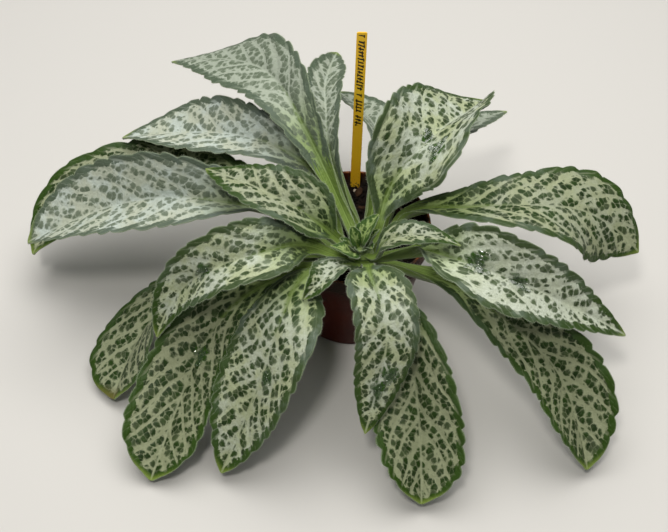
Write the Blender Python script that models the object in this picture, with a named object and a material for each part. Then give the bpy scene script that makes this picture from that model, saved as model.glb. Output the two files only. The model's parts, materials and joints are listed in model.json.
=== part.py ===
"""A silver-leaved primulina growing in a small plastic nursery pot, with a plain plant label.

Metres, +Z up. The origin is the middle of the pot's base, on the surface that it stands on.
The stem leans towards -Y, which is the plant's front.
"""

import math
from dataclasses import dataclass

import bmesh
import bpy
from mathutils import Matrix, Vector

MM = 0.001

# Pot
POT_HEIGHT = 66.0 * MM
RIM_RADIUS = 42.5 * MM
RIM_BAND = 8.5 * MM
RIM_STEP = 1.3 * MM
FOOT_RADIUS = 30.0 * MM
WALL = 1.2 * MM
FLOOR = 1.6 * MM
EDGE_ROUND = 0.5 * MM
FOOT_CHAMFER = 1.5 * MM
CORE = 1.0 * MM
HOLE_COUNT = 6
HOLE_RADIUS = 3.5 * MM
HOLE_RING = 20.0 * MM
HOLE_SIDES = 16
TURN_SIDES = 64
SMOOTH_ANGLE = 35.0

# Soil
SOIL_LEVEL = 60.6 * MM
SOIL_BUMP = 0.5 * MM
SOIL_WAVE_X = 20.0 * MM
SOIL_WAVE_Y = 23.0 * MM
SOIL_WAVE_SLANT = 12.5 * MM
SOIL_RINGS = 7
SOIL_SIDES = 40
GAP = 0.35 * MM

# Stem
STEM_FOOT = Vector((0.0, -9.0, 52.0)) * MM
STEM_TIP = Vector((4.0, -31.0, 77.0)) * MM
STEM_WIDTHS = ((52.0, 8.0), (73.0, 8.0), (77.0, 6.4), (79.5, 3.0))
STEM_SIDES = 24
STEM_GAP = 0.5 * MM
YOUNG_SUNK = 5.0 * MM

# Label
LABEL_WIDTH = 5.4 * MM
LABEL_THICK = 0.8 * MM
LABEL_FOOT = Vector((1.4, 35.6, 42.0)) * MM
LABEL_TOP = Vector((4.2, 38.6, 164.5)) * MM
LABEL_POINT = 8.0 * MM
LABEL_CORNER = 0.8 * MM

# Leaves: reach and side are measured from here, on the pot's base plane
CROWN = Vector((1.0, -20.0, 0.0)) * MM
SEAT_GAP = 0.65 * MM
SEAT_SPAN = (-0.6 * MM, 0.0, 0.6 * MM)
COLLAR_OUT = 4.0 * MM
COLLAR_RISE = 3.0 * MM
BLADE_THICK = 1.2 * MM
STALK_EXTRA = 1.3 * MM
RIB_EXTRA = 0.6 * MM
MARGIN_THIN = 0.6
ACROSS = (-1.0, -0.5, 0.0, 0.5, 1.0)

# Shares of the midrib's length, and the shape of the blade's two margins
STALK_SHARE = 0.12
STALK_END = 0.30
PLAIN_ROWS = (0.0, 0.06, 0.13, 0.22)
ROOT_WIDTH = 0.8
SWELL_POWER = 1.25
TIP_POWER = 0.85
TOOTH_DEPTH = 1.8 * MM
TOOTH_SHARE = 0.09
TOOTH_PEAK = 0.72
LAST_TOOTH = 0.985
YOUNG_ROWS = 8
YOUNG_END = 0.97
SLOPE_STEP = 0.001
LEAST_CURL = 1e-4


@dataclass(frozen=True)
class Leaf:
    """One leaf: where it grows on the stem, the line of its midrib, and how its blade spreads and turns.

    turn is the heading of the blade, and seat the heading round the stem and the height where the stalk
    starts. Each midrib point is (reach, side, height). Roll, fold and curl are angles at even steps from
    stalk to tip: roll tips the blade about its midrib, fold lifts both halves from it, and curl bends them
    down again. Lengths are in millimetres and angles in degrees.
    """

    name: str
    turn: float
    seat: tuple
    midrib: tuple
    width: float
    widest: float
    roll: tuple
    fold: tuple
    curl: tuple
    tip: float = 2.2
    teeth: int = 11
    stalk: float = 3.2


LEAVES = (
    Leaf("leaf_right_upper", 5, (8, 69),
         ((28, 14, 78), (60, 4, 90), (91, 1, 92), (125, 4, 80), (155, -1, 52)),
         53, 0.78, (-38, 0, 45), (26, 0), (6, 16), tip=1.6),
    Leaf("leaf_right_long", -17, (-24, 74),
         ((39, -7, 85), (64, -17, 94), (95, -16, 86), (126, -8, 66), (146, 0, 48)),
         46, 0.44, (-44, 37, 6), (40, 18), (-12, 2), tip=1.3),
    Leaf("leaf_right_low", -39, (-38, 65),
         ((32, 4, 71), (63, 11, 69), (100, 17, 53), (124, 17, 35), (153, -1, 6)),
         48, 0.78, (-32, 24, 18), (25, 30), (3, -8), tip=1.9),
    Leaf("leaf_front_low", -74, (-84, 65.5),
         ((32, 7, 71), (59, 9, 62), (77, 9, 44), (97, 6, 24), (122, -1, 6)),
         51, 0.76, (14, 26, 2), (0, 33), (22, -8), tip=3.2),
    Leaf("leaf_front_upper", -88, (-72, 75),
         ((39, 6, 88), (61, 11, 88), (73, 12, 77), (84, 7, 55), (95, 1, 34)),
         34, 0.34, (16, -12, 0), (28, 0), (3, 28), tip=2.6),
    Leaf("leaf_front_small", -118, (-104, 76.5),
         ((30, 5, 86), (43, 4, 88), (54, -1, 81)),
         19, 0.50, (-40, 10, -20), (5, 30), (20, -10), tip=1.7, teeth=7, stalk=2.2),
    Leaf("leaf_front_left", -124, (-118, 70),
         ((38, -6, 78), (65, -1, 74), (85, 1, 53), (102, 0, 29), (121, -1, 7)),
         50, 0.48, (0, 14, -8), (-4, 22), (38, -4), tip=2.4),
    Leaf("leaf_front_left_wide", -136, (-134, 65),
         ((38, -9, 71), (66, -21, 59), (89, -23, 40), (110, -17, 22), (146, 1, 4)),
         50, 0.77, (0, -10, -12), (22, 25), (9, -8), tip=3.3),
    Leaf("leaf_left_low", -158, (-167, 64.5),
         ((46, -9, 69), (78, -27, 48), (105, -28, 30), (124, -17, 17), (139, 0, 6)),
         51, 0.78, (0, 32, -2), (20, 18), (12, 5), tip=3.3),
    Leaf("leaf_left_front", -157, (-154, 73.5),
         ((32, 2, 86), (57, 5, 92), (77, 0, 86), (94, -7, 69), (111, -1, 46)),
         38, 0.43, (-32, -24, -35), (25, 32), (4, -12)),
    Leaf("leaf_left_upper", 162, (160, 78),
         ((16, 10, 91), (29, 10, 100), (46, 9, 105), (62, 6, 106), (82, 0, 102)),
         36, 0.34, (-36, -12, 10), (42, 10), (-7, 20), tip=2.0),
    Leaf("leaf_left_far", 173, (183, 68.5),
         ((38, -8, 80), (65, -9, 85), (100, -11, 84), (133, -10, 74), (162, -4, 61), (180, 1, 51)),
         52, 0.63, (42, -33, -6), (40, 24), (-10, -7), tip=3.2),
    Leaf("leaf_left_far_under", 169, (150, 65),
         ((51, -23, 71), (93, -34, 67), (137, -38, 55), (170, -28, 41), (187, -2, 24)),
         56, 0.65, (0, 2, -34), (40, 13), (-12, 8), tip=2.6),
    Leaf("leaf_back_left", 146, (143, 71.5),
         ((31, -18, 84), (62, -22, 91), (92, -19, 89), (126, -12, 79), (160, 0, 67)),
         43, 0.74, (-42, -26, 8), (42, 16), (-14, 3), tip=1.6),
    Leaf("leaf_back_left_tall", 129, (108, 75),
         ((40, -9, 98), (60, -11, 112), (84, -17, 116), (107, -19, 114), (136, -15, 104), (170, -1, 88)),
         44, 0.72, (-34, -28, 6), (42, 1), (-14, 14), tip=1.4),
    Leaf("leaf_back", 93, (92, 69),
         ((49, 8, 78), (66, 11, 86), (87, 11, 90), (114, 10, 88), (152, 1, 80)),
         25, 0.76, (-43, -9, 15), (42, 23), (-14, -6), tip=1.5),
    Leaf("leaf_back_low", 93, (64, 65),
         ((51, -16, 70), (81, -21, 68), (114, -15, 62), (152, 1, 50)),
         32, 0.72, (0, 20, 6), (42, 18), (-14, 0), tip=1.5),
    Leaf("leaf_back_right_low", 52, (30, 66),
         ((48, 6, 79), (79, 4, 81), (113, 4, 75), (150, 1, 62)),
         31, 0.51, (0, -22, -6), (30, 11), (2, 11), tip=1.7),
    Leaf("leaf_back_right", 49, (52, 74),
         ((22, -2, 90), (34, -1, 100), (48, -3, 108), (73, -2, 108), (113, 0, 98)),
         62, 0.49, (48, 23, -10, -34), (23, 35, 28), (2, -8, -4), tip=2.5),
    Leaf("leaf_right_small", -28, (-36, 79),
         ((21, -9, 92), (31, -7, 100), (43, -3, 102), (59, 0, 99)),
         20, 0.42, (40, 5, -15), (18, 10), (10, 12), tip=1.5, teeth=7, stalk=2.2),
)

# Young leaves that still stand in the heart of the rosette, grown into the stem's tip
YOUNG_LEAVES = (
    Leaf("young_upright", -11, (60, 76), ((5, -8, 84), (8, -5, 91), (12, 0, 96)),
         13, 0.49, (50, 30, 15), (22, 15), (5, 5), teeth=0, stalk=2.0),
    Leaf("young_left", -122, (-170, 77), ((20, 7, 88), (23, 4, 91), (24, 0, 92)),
         12, 0.51, (10, -30, -20), (20, 16), (10, 4), teeth=0, stalk=1.8),
    Leaf("young_right", -65, (-60, 77), ((14, 1, 82), (16, 1, 84), (18, 1, 85)),
         6, 0.50, (20, 10, 0), (30, 20), (0, 0), teeth=0, stalk=1.4),
)


def between(values, share):
    """The value at this share of the way along values, eased from each to the next."""
    place = min(max(share, 0.0), 1.0) * (len(values) - 1)
    first = min(int(place), len(values) - 2)
    part = place - first
    part = part * part * (3.0 - 2.0 * part)
    return values[first] * (1.0 - part) + values[first + 1] * part


def stem_centre(height):
    """The middle of the leaning stem at this height."""
    share = (height - STEM_FOOT.z) / (STEM_TIP.z - STEM_FOOT.z)
    return STEM_FOOT.lerp(STEM_TIP, share)


def stem_radius(height):
    """Half of the stem's width at this height."""
    for (low, wide), (high, narrow) in zip(STEM_WIDTHS, STEM_WIDTHS[1:]):
        if height <= high * MM:
            share = max(0.0, (height - low * MM) / ((high - low) * MM))
            return (wide + (narrow - wide) * share) * MM
    return STEM_WIDTHS[-1][1] * MM


def stem_face(height, away):
    """How far out from the stem's middle a stalk starts, to clear the leaning stem beside its raised edges."""
    centre = stem_centre(height)
    return max((stem_centre(height + s) - centre).dot(away) + stem_radius(height + s) for s in SEAT_SPAN)


def heading(degrees):
    """The level direction at this angle from +X."""
    return Vector((math.cos(math.radians(degrees)), math.sin(math.radians(degrees)), 0.0))


class Blade:
    """The surface of one leaf: a point for each share along the midrib and across the blade."""

    def __init__(self, leaf, sunk=0.0):
        self.leaf = leaf
        self.out = heading(leaf.turn)
        self.left = Vector((-self.out.y, self.out.x, 0.0))
        self.knots = self.route(sunk)
        steps = [(b - a).length for a, b in zip(self.knots, self.knots[1:])]
        self.shares = [sum(steps[:i]) / sum(steps) for i in range(len(self.knots))]
        self.slopes = self.tangents()
        self.half = leaf.width * MM / 2

    def route(self, sunk):
        """The midrib's points, from the stem's side: a short collar square to the stem, then the leaf's own."""
        angle, height = self.leaf.seat
        away = heading(angle)
        centre = stem_centre(height * MM)
        root = centre + away * (stem_face(height * MM, away) + SEAT_GAP - sunk)
        points = [root]
        if not sunk:
            points.append(root + away * COLLAR_OUT + Vector((0.0, 0.0, COLLAR_RISE)))
        for reach, side, up in self.leaf.midrib:
            points.append(CROWN + self.out * reach * MM + self.left * side * MM + Vector((0.0, 0.0, up * MM)))
        return points

    def tangents(self):
        """Catmull-Rom slopes at the midrib's points."""
        k, s = self.knots, self.shares
        inner = [(k[i + 1] - k[i - 1]) / (s[i + 1] - s[i - 1]) for i in range(1, len(k) - 1)]
        first = 2 * (k[1] - k[0]) / (s[1] - s[0]) - inner[0]
        last = 2 * (k[-1] - k[-2]) / (s[-1] - s[-2]) - inner[-1]
        return [first, *inner, last]

    def rib(self, share):
        """The point at this share of the midrib."""
        i = 0
        while i < len(self.shares) - 2 and share > self.shares[i + 1]:
            i += 1
        span = self.shares[i + 1] - self.shares[i]
        u = (share - self.shares[i]) / span
        return (
            self.knots[i] * ((1 + 2 * u) * (1 - u) ** 2)
            + self.slopes[i] * (span * u * (1 - u) ** 2)
            + self.knots[i + 1] * (u * u * (3 - 2 * u))
            + self.slopes[i + 1] * (span * u * u * (u - 1))
        )

    def frame(self, share):
        """The directions across the blade and out of its upper face at this share of the midrib."""
        ahead, behind = self.rib(min(1.0, share + SLOPE_STEP)), self.rib(max(0.0, share - SLOPE_STEP))
        along = (ahead - behind).normalized()
        across = (self.left - along * self.left.dot(along)).normalized()
        roll = math.radians(between(self.leaf.roll, share)) * self.settled(share)
        turned = Matrix.Rotation(roll, 3, along)
        return turned @ across, turned @ along.cross(across)

    def settled(self, share):
        """How far the stalk has turned from its flat, level root into the leaf's own roll and fold."""
        return min(1.0, share / STALK_SHARE)

    def reach_across(self, share):
        """Half of the blade's width at this share of the midrib, teeth left out."""
        stalk, widest = self.leaf.stalk * MM, self.leaf.widest
        if share < STALK_SHARE:
            return stalk * (ROOT_WIDTH + (1.0 - ROOT_WIDTH) * share / STALK_SHARE)
        if share < widest:
            rise = (share - STALK_SHARE) / (widest - STALK_SHARE)
            return stalk + (self.half - stalk) * math.sin(math.pi / 2 * rise) ** SWELL_POWER
        return self.half * (1.0 - ((share - widest) / (1.0 - widest)) ** self.leaf.tip) ** TIP_POWER

    def point(self, share, side, reach):
        """The point at side, from -1 to 1, of a blade that reaches this far across its bent halves."""
        across, up = self.frame(share)
        fold = math.radians(between(self.leaf.fold, share)) * self.settled(share)
        curl = math.radians(between(self.leaf.curl, share)) or LEAST_CURL
        bent = fold - curl * abs(side)
        flat = reach / curl * (math.sin(fold) - math.sin(bent))
        lift = reach / curl * (math.cos(bent) - math.cos(fold))
        return self.rib(share) + across * math.copysign(flat, side) + up * lift

    def stations(self):
        """(share, notch) for each row of points, where notch is how far the margin is cut in."""
        if not self.leaf.teeth:
            return [(YOUNG_END * i / YOUNG_ROWS, 0.0) for i in range(YOUNG_ROWS + 1)]
        rows = [(share, 0.0) for share in PLAIN_ROWS]
        pitch = (LAST_TOOTH - STALK_END) / self.leaf.teeth
        for tooth in range(self.leaf.teeth):
            share = STALK_END + tooth * pitch
            rows.append((share, min(TOOTH_DEPTH, TOOTH_SHARE * self.reach_across(share))))
            rows.append((share + TOOTH_PEAK * pitch, 0.0))
        return rows


def mesh_object(name, mesh, material):
    """A named object of this mesh in the scene."""
    obj = bpy.data.objects.new(name, mesh)
    obj.data.materials.append(material)
    bpy.context.collection.objects.link(obj)
    return obj


def material(name, colour, roughness):
    """A plain finish."""
    made = bpy.data.materials.new(name)
    made.use_nodes = True
    shader = made.node_tree.nodes["Principled BSDF"]
    shader.inputs["Base Color"].default_value = (*colour, 1.0)
    shader.inputs["Roughness"].default_value = roughness
    return made


def leaf_object(leaf, finish, sunk=0.0):
    """One leaf as a sheet of triangles down the midrib, thickened downwards by a Solidify modifier."""
    blade = Blade(leaf, sunk)
    bm = bmesh.new()
    weight = bm.verts.layers.deform.verify()
    full = BLADE_THICK + STALK_EXTRA + RIB_EXTRA

    def add(point, thick):
        vert = bm.verts.new(point)
        vert[weight][0] = thick / full
        return vert

    rows = []
    for share, notch in blade.stations():
        reach = blade.reach_across(share)
        thick = BLADE_THICK + STALK_EXTRA * max(0.0, 1.0 - share / STALK_END)
        row = []
        for side in ACROSS:
            margin = abs(side) == 1.0
            point = blade.point(share, side, reach - notch if margin else reach)
            row.append(add(point, thick * MARGIN_THIN if margin else thick + RIB_EXTRA * (side == 0.0)))
        rows.append(row)
    end = add(blade.rib(1.0), BLADE_THICK * MARGIN_THIN)
    middle = len(ACROSS) // 2
    for near, far in zip(rows, rows[1:]):
        for i in range(len(ACROSS) - 1):
            a, b, c, d = near[i], near[i + 1], far[i + 1], far[i]
            if i < middle:
                bm.faces.new((a, d, b))
                bm.faces.new((b, d, c))
            else:
                bm.faces.new((a, d, c))
                bm.faces.new((a, c, b))
    for a, b in zip(rows[-1], rows[-1][1:]):
        bm.faces.new((a, end, b))
    bmesh.ops.recalc_face_normals(bm, faces=bm.faces)
    if sum(face.normal.z * face.calc_area() for face in bm.faces) < 0.0:
        bmesh.ops.reverse_faces(bm, faces=bm.faces)
    mesh = bpy.data.meshes.new(leaf.name)
    bm.to_mesh(mesh)
    bm.free()
    obj = mesh_object(leaf.name, mesh, finish)
    obj.vertex_groups.new(name="thickness")
    solid = obj.modifiers.new("thickness", "SOLIDIFY")
    solid.thickness = full
    solid.offset = -1.0
    solid.vertex_group = "thickness"
    return obj


def turned(name, profile, sides, finish):
    """A solid turned about the pot's axis from its closed outline of (radius, height) points."""
    bm = bmesh.new()
    loop = [bm.verts.new((radius, 0.0, height)) for radius, height in profile]
    edges = [bm.edges.new(pair) for pair in zip(loop, loop[1:] + loop[:1])]
    bmesh.ops.spin(
        bm, geom=loop + edges, cent=(0, 0, 0), axis=(0, 0, 1), angle=2 * math.pi, steps=sides, use_merge=True
    )
    bmesh.ops.recalc_face_normals(bm, faces=bm.faces)
    mesh = bpy.data.meshes.new(name)
    bm.to_mesh(mesh)
    bm.free()
    obj = mesh_object(name, mesh, finish)
    mesh.shade_smooth()
    mesh.set_sharp_from_angle(angle=math.radians(SMOOTH_ANGLE))
    return obj


def cutter(name, bm):
    """A hidden solid that a Boolean takes away."""
    mesh = bpy.data.meshes.new(name)
    bm.to_mesh(mesh)
    bm.free()
    obj = bpy.data.objects.new(name, mesh)
    bpy.context.collection.objects.link(obj)
    obj.hide_render = True
    obj.display_type = "WIRE"
    return obj


def boolean(obj, other, operation="DIFFERENCE"):
    """Cuts other from obj, or joins it."""
    change = obj.modifiers.new(other.name, "BOOLEAN")
    change.operation = operation
    change.object = other


def pot(finish):
    """The pot: a tapered cup with a rim band, a flat base and a ring of drain holes."""
    band_foot = POT_HEIGHT - RIM_BAND
    body_top = RIM_RADIUS - RIM_STEP
    wall_foot = FOOT_RADIUS - WALL
    profile = [
        (CORE, 0.0),
        (FOOT_RADIUS - FOOT_CHAMFER, 0.0),
        (FOOT_RADIUS, FOOT_CHAMFER),
        (body_top, band_foot - RIM_STEP),
        (RIM_RADIUS, band_foot),
        (RIM_RADIUS, POT_HEIGHT - EDGE_ROUND),
        (RIM_RADIUS - EDGE_ROUND, POT_HEIGHT),
        (RIM_RADIUS - WALL, POT_HEIGHT),
        (RIM_RADIUS - WALL - EDGE_ROUND, POT_HEIGHT - EDGE_ROUND),
        (body_top - WALL, band_foot - RIM_STEP),
        (wall_foot, FLOOR),
        (CORE, FLOOR),
    ]
    obj = turned("pot", profile, TURN_SIDES, finish)
    fill_axis(obj.data)
    bm = bmesh.new()
    for hole in range(HOLE_COUNT):
        place = heading(360.0 * (hole + 0.5) / HOLE_COUNT) * HOLE_RING
        bmesh.ops.create_cone(
            bm, cap_ends=True, segments=HOLE_SIDES, radius1=HOLE_RADIUS, radius2=HOLE_RADIUS, depth=4 * FLOOR,
            matrix=Matrix.Translation(place),
        )
    boolean(obj, cutter("drain_holes", bm))
    return obj


def fill_axis(mesh):
    """Closes the pin-sized core that a turned outline leaves round the axis."""
    bm = bmesh.new()
    bm.from_mesh(mesh)
    core = [face for face in bm.faces if all(v.co.xy.length < 1.1 * CORE for v in face.verts)]
    bmesh.ops.delete(bm, geom=core, context="FACES_ONLY")
    bmesh.ops.holes_fill(bm, edges=[edge for edge in bm.edges if edge.is_boundary])
    bmesh.ops.recalc_face_normals(bm, faces=bm.faces)
    bm.to_mesh(mesh)
    bm.free()


def soil_height(x, y):
    """The lumpy surface of the soil."""
    turn = 2 * math.pi
    lumps = math.sin(turn * x / SOIL_WAVE_X + 1.0) * math.cos(turn * y / SOIL_WAVE_Y)
    ripple = math.sin(turn * (x - y) / SOIL_WAVE_SLANT + 2.0)
    return SOIL_LEVEL + SOIL_BUMP * (lumps + ripple)


def soil(finish):
    """The soil: it fills the pot to below the rim, and has a hole for the stem and a slot for the label."""
    body_top = RIM_RADIUS - RIM_STEP - WALL
    band_foot = POT_HEIGHT - RIM_BAND - RIM_STEP
    foot = FOOT_RADIUS - WALL
    slope = (body_top - foot) / (band_foot - FLOOR)
    bottom = FLOOR + GAP
    bm = bmesh.new()
    rings = []
    for ring in range(1, SOIL_RINGS + 1):
        radius = (body_top - GAP) * ring / SOIL_RINGS
        turns = [heading(360.0 * side / SOIL_SIDES) * radius for side in range(SOIL_SIDES)]
        rings.append([bm.verts.new((p.x, p.y, soil_height(p.x, p.y))) for p in turns])
    for height in (band_foot, bottom):
        radius = foot + slope * (height - FLOOR) - GAP
        turns = [heading(360.0 * side / SOIL_SIDES) * radius for side in range(SOIL_SIDES)]
        rings.append([bm.verts.new((p.x, p.y, height)) for p in turns])
    for near, far in zip(rings, rings[1:]):
        for i in range(SOIL_SIDES):
            j = (i + 1) % SOIL_SIDES
            bm.faces.new((near[i], far[i], far[j]))
            bm.faces.new((near[i], far[j], near[j]))
    middle = bm.verts.new((0.0, 0.0, soil_height(0.0, 0.0)))
    for i in range(SOIL_SIDES):
        bm.faces.new((middle, rings[0][i], rings[0][(i + 1) % SOIL_SIDES]))
    bm.faces.new(rings[-1])
    bmesh.ops.recalc_face_normals(bm, faces=bm.faces)
    mesh = bpy.data.meshes.new("soil")
    bm.to_mesh(mesh)
    bm.free()
    obj = mesh_object("soil", mesh, finish)
    boolean(obj, stem_socket())
    boolean(obj, label_slot())
    return obj


def stem_rings(heights, extra=0.0):
    """Rings of points round the leaning stem at these heights."""
    bm = bmesh.new()
    rings = []
    for height in heights:
        centre, radius = stem_centre(height), stem_radius(height) + extra
        rings.append(
            [bm.verts.new(centre + heading(360.0 * s / STEM_SIDES) * radius) for s in range(STEM_SIDES)]
        )
    for near, far in zip(rings, rings[1:]):
        for i in range(STEM_SIDES):
            bm.faces.new((near[i], near[(i + 1) % STEM_SIDES], far[(i + 1) % STEM_SIDES], far[i]))
    bm.faces.new(reversed(rings[0]))
    bm.faces.new(rings[-1])
    bmesh.ops.recalc_face_normals(bm, faces=bm.faces)
    return bm


def stem_socket():
    """The plain hole that the stem stands in."""
    foot, top = STEM_FOOT.z, SOIL_LEVEL + 4 * SOIL_BUMP
    return cutter("stem_hole", stem_rings((foot - GAP, top), STEM_GAP))


def label_frame():
    """The label's place: its own Z runs up the strip, and X across it."""
    up = (LABEL_TOP - LABEL_FOOT).normalized()
    out = up.cross(Vector((1.0, 0.0, 0.0))).normalized()
    across = out.cross(up)
    turn = Matrix((across, out, up)).transposed().to_4x4()
    return Matrix.Translation(LABEL_FOOT) @ turn


def label_outline(bm, grow):
    """The strip with its pointed foot, as one closed solid, grown by this much all round."""
    half, long = LABEL_WIDTH / 2 + grow, (LABEL_TOP - LABEL_FOOT).length
    outline = (
        (0.0, -grow), (half, LABEL_POINT), (half, long - LABEL_CORNER), (half - LABEL_CORNER, long),
        (LABEL_CORNER - half, long), (-half, long - LABEL_CORNER), (-half, LABEL_POINT),
    )
    depth = LABEL_THICK / 2 + grow
    front = [bm.verts.new((x, -depth, z)) for x, z in outline]
    back = [bm.verts.new((x, depth, z)) for x, z in outline]
    bm.faces.new(front)
    bm.faces.new(reversed(back))
    for i, vert in enumerate(front):
        j = (i + 1) % len(front)
        bm.faces.new((vert, back[i], back[j], front[j]))
    bmesh.ops.recalc_face_normals(bm, faces=bm.faces)


def label_slot():
    """The slot that the label is pushed into."""
    bm = bmesh.new()
    label_outline(bm, GAP)
    bm.transform(label_frame())
    return cutter("label_slot", bm)


def label(finish):
    """The plastic strip, with its point pushed into the soil at the back of the pot."""
    bm = bmesh.new()
    label_outline(bm, 0.0)
    mesh = bpy.data.meshes.new("label")
    bm.to_mesh(mesh)
    bm.free()
    obj = mesh_object("label", mesh, finish)
    obj.matrix_world = label_frame()
    return obj


def stem(finish):
    """The short stem, with the young leaves of the rosette's heart grown into its tip."""
    heights = [height * MM for height, _ in STEM_WIDTHS]
    mesh = bpy.data.meshes.new("stem")
    bm = stem_rings(heights)
    bm.to_mesh(mesh)
    bm.free()
    obj = mesh_object("stem", mesh, finish)
    for leaf in YOUNG_LEAVES:
        young = leaf_object(leaf, finish, sunk=YOUNG_SUNK)
        young.hide_render = True
        young.display_type = "WIRE"
        boolean(obj, young, "UNION")
    return obj


def clear_scene():
    """Removes what the scene holds."""
    for obj in list(bpy.data.objects):
        bpy.data.objects.remove(obj, do_unlink=True)


def main():
    """Builds the potted plant."""
    clear_scene()
    silver_green = material("silver green leaf", (0.30, 0.38, 0.24), 0.5)
    pot(material("brown pot plastic", (0.13, 0.045, 0.02), 0.45))
    soil(material("dark soil", (0.02, 0.015, 0.012), 0.95))
    stem(material("young green stem", (0.24, 0.38, 0.10), 0.5))
    label(material("yellow label plastic", (0.78, 0.42, 0.02), 0.4))
    for leaf in LEAVES:
        leaf_object(leaf, silver_green)


main()
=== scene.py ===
"""A silver-leaved primulina in a brown nursery pot: the fine surfaces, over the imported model.

Lengths are in millimetres and turned into metres in the meshes, and materials count in metres. The origin is
the middle of the pot's base, +Z is up, and the stem leans towards -Y, which is the plant's front.
"""

from __future__ import annotations

import json
import logging
import math
import random
from dataclasses import dataclass, field
from enum import Enum, IntEnum

import bmesh
import bpy
import numpy as np
from mathutils import Matrix, Vector

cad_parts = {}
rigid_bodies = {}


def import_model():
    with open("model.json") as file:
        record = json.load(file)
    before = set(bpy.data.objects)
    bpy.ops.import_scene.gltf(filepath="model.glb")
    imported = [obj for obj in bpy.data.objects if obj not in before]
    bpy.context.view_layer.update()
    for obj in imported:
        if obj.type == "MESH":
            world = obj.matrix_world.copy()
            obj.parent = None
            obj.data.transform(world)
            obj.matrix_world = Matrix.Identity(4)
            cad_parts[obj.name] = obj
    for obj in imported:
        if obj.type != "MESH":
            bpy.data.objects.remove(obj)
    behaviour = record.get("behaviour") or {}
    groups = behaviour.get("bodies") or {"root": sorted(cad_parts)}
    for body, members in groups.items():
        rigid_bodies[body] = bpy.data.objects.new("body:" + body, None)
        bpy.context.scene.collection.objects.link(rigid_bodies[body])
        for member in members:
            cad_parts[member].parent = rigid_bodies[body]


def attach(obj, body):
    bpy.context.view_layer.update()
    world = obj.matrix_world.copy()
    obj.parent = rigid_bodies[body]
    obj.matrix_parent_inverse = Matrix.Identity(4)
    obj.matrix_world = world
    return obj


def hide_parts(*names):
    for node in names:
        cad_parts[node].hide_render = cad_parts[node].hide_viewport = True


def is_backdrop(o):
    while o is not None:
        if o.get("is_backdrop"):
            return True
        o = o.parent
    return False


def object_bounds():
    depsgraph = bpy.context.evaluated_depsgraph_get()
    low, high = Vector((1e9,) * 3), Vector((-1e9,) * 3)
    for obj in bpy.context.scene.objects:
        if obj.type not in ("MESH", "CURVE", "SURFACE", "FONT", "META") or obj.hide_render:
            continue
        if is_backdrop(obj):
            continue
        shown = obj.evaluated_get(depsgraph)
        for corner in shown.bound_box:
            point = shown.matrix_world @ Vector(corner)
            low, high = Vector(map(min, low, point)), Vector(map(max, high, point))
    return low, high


MM = 0.001
CENTIMETRE = 10.0
BODY = "root"
TURN = 2.0 * math.pi
CREASE = math.radians(40.0)
STALK = 3.2

LOG = logging.getLogger("primulina")

Points = np.ndarray
Place = tuple[float, float, float]
Colour = tuple[float, float, float]
Paint = dict[str, object]
Materials = tuple[bpy.types.Material, ...]


class Slot(Enum):
    """The record's material slots."""

    LEAF = "leaf"
    STEM = "stem"
    POT = "pot_plastic"
    SOIL = "soil"
    LABEL = "label_plastic"


class Layer(str, Enum):
    """The UV maps that the leaf finishes read."""

    VEINS = "veins"
    MARGIN = "margin"
    GROWTH = "growth"
    WATER = "water"


class Face(IntEnum):
    """The order of a leaf's material slots."""

    UPPER = 0
    UNDER = 1
    FELT = 2
    DROPS = 3


@dataclass(frozen=True)
class Value:
    """What a node puts out, with plain arithmetic that adds the nodes for it."""

    sketch: Sketch
    socket: bpy.types.NodeSocket

    def __add__(self, other: object) -> Value:
        """The two added."""
        return self.sketch.math("ADD", self, other)

    def __sub__(self, other: object) -> Value:
        """This less the other."""
        return self.sketch.math("SUBTRACT", self, other)

    def __rsub__(self, other: float) -> Value:
        """The other less this."""
        return self.sketch.math("SUBTRACT", other, self)

    def __mul__(self, other: object) -> Value:
        """The two multiplied."""
        return self.sketch.math("MULTIPLY", self, other)

    def __truediv__(self, other: object) -> Value:
        """This divided by the other."""
        return self.sketch.math("DIVIDE", self, other)

    def __or__(self, other: object) -> Value:
        """The larger of the two."""
        return self.sketch.math("MAXIMUM", self, other)

    def __abs__(self) -> Value:
        """This without its sign."""
        return self.sketch.math("ABSOLUTE", self)

    def held(self) -> Value:
        """This, kept from 0 to 1."""
        return self.sketch.node("Math", {0: self, 1: 0.0}, operation="ADD", use_clamp=True)

    def whole(self) -> Value:
        """0 midway between two whole numbers, and 1 on one."""
        return abs(self.sketch.math("FRACT", self) - 0.5) * 2.0

    def ramp(self, low: object, high: object, start: object = 0.0, end: object = 1.0) -> Value:
        """Eases from start to end as this goes from low to high."""
        inputs = {0: self, 1: low, 2: high, 3: start, 4: end}
        return self.sketch.node("MapRange", inputs, interpolation_type="SMOOTHSTEP")

    def other(self, name: object) -> Value:
        """Another output of the same node."""
        return Value(self.sketch, self.socket.node.outputs[name])

    def split(self) -> tuple[Value, Value, Value]:
        """The three numbers of a place."""
        first = self.sketch.node("SeparateXYZ", {0: self})
        return first, first.other(1), first.other(2)

    def strayed(self, scale: float, much: float) -> Value:
        """This place moved about by noise.

        Args:
            scale: how fine the noise is.
            much: how far it moves the place.

        Returns:
            The moved place.
        """
        noise = self.sketch.noise(self, scale).other("Color")
        centred = self.sketch.node("VectorMath", {0: noise, 1: (0.5, 0.5, 0.5)}, operation="SUBTRACT")
        inputs = {0: centred, 1: (much, much, 0.0), 2: self}
        return self.sketch.node("VectorMath", inputs, operation="MULTIPLY_ADD")


Values = tuple[Value, ...]


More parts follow.
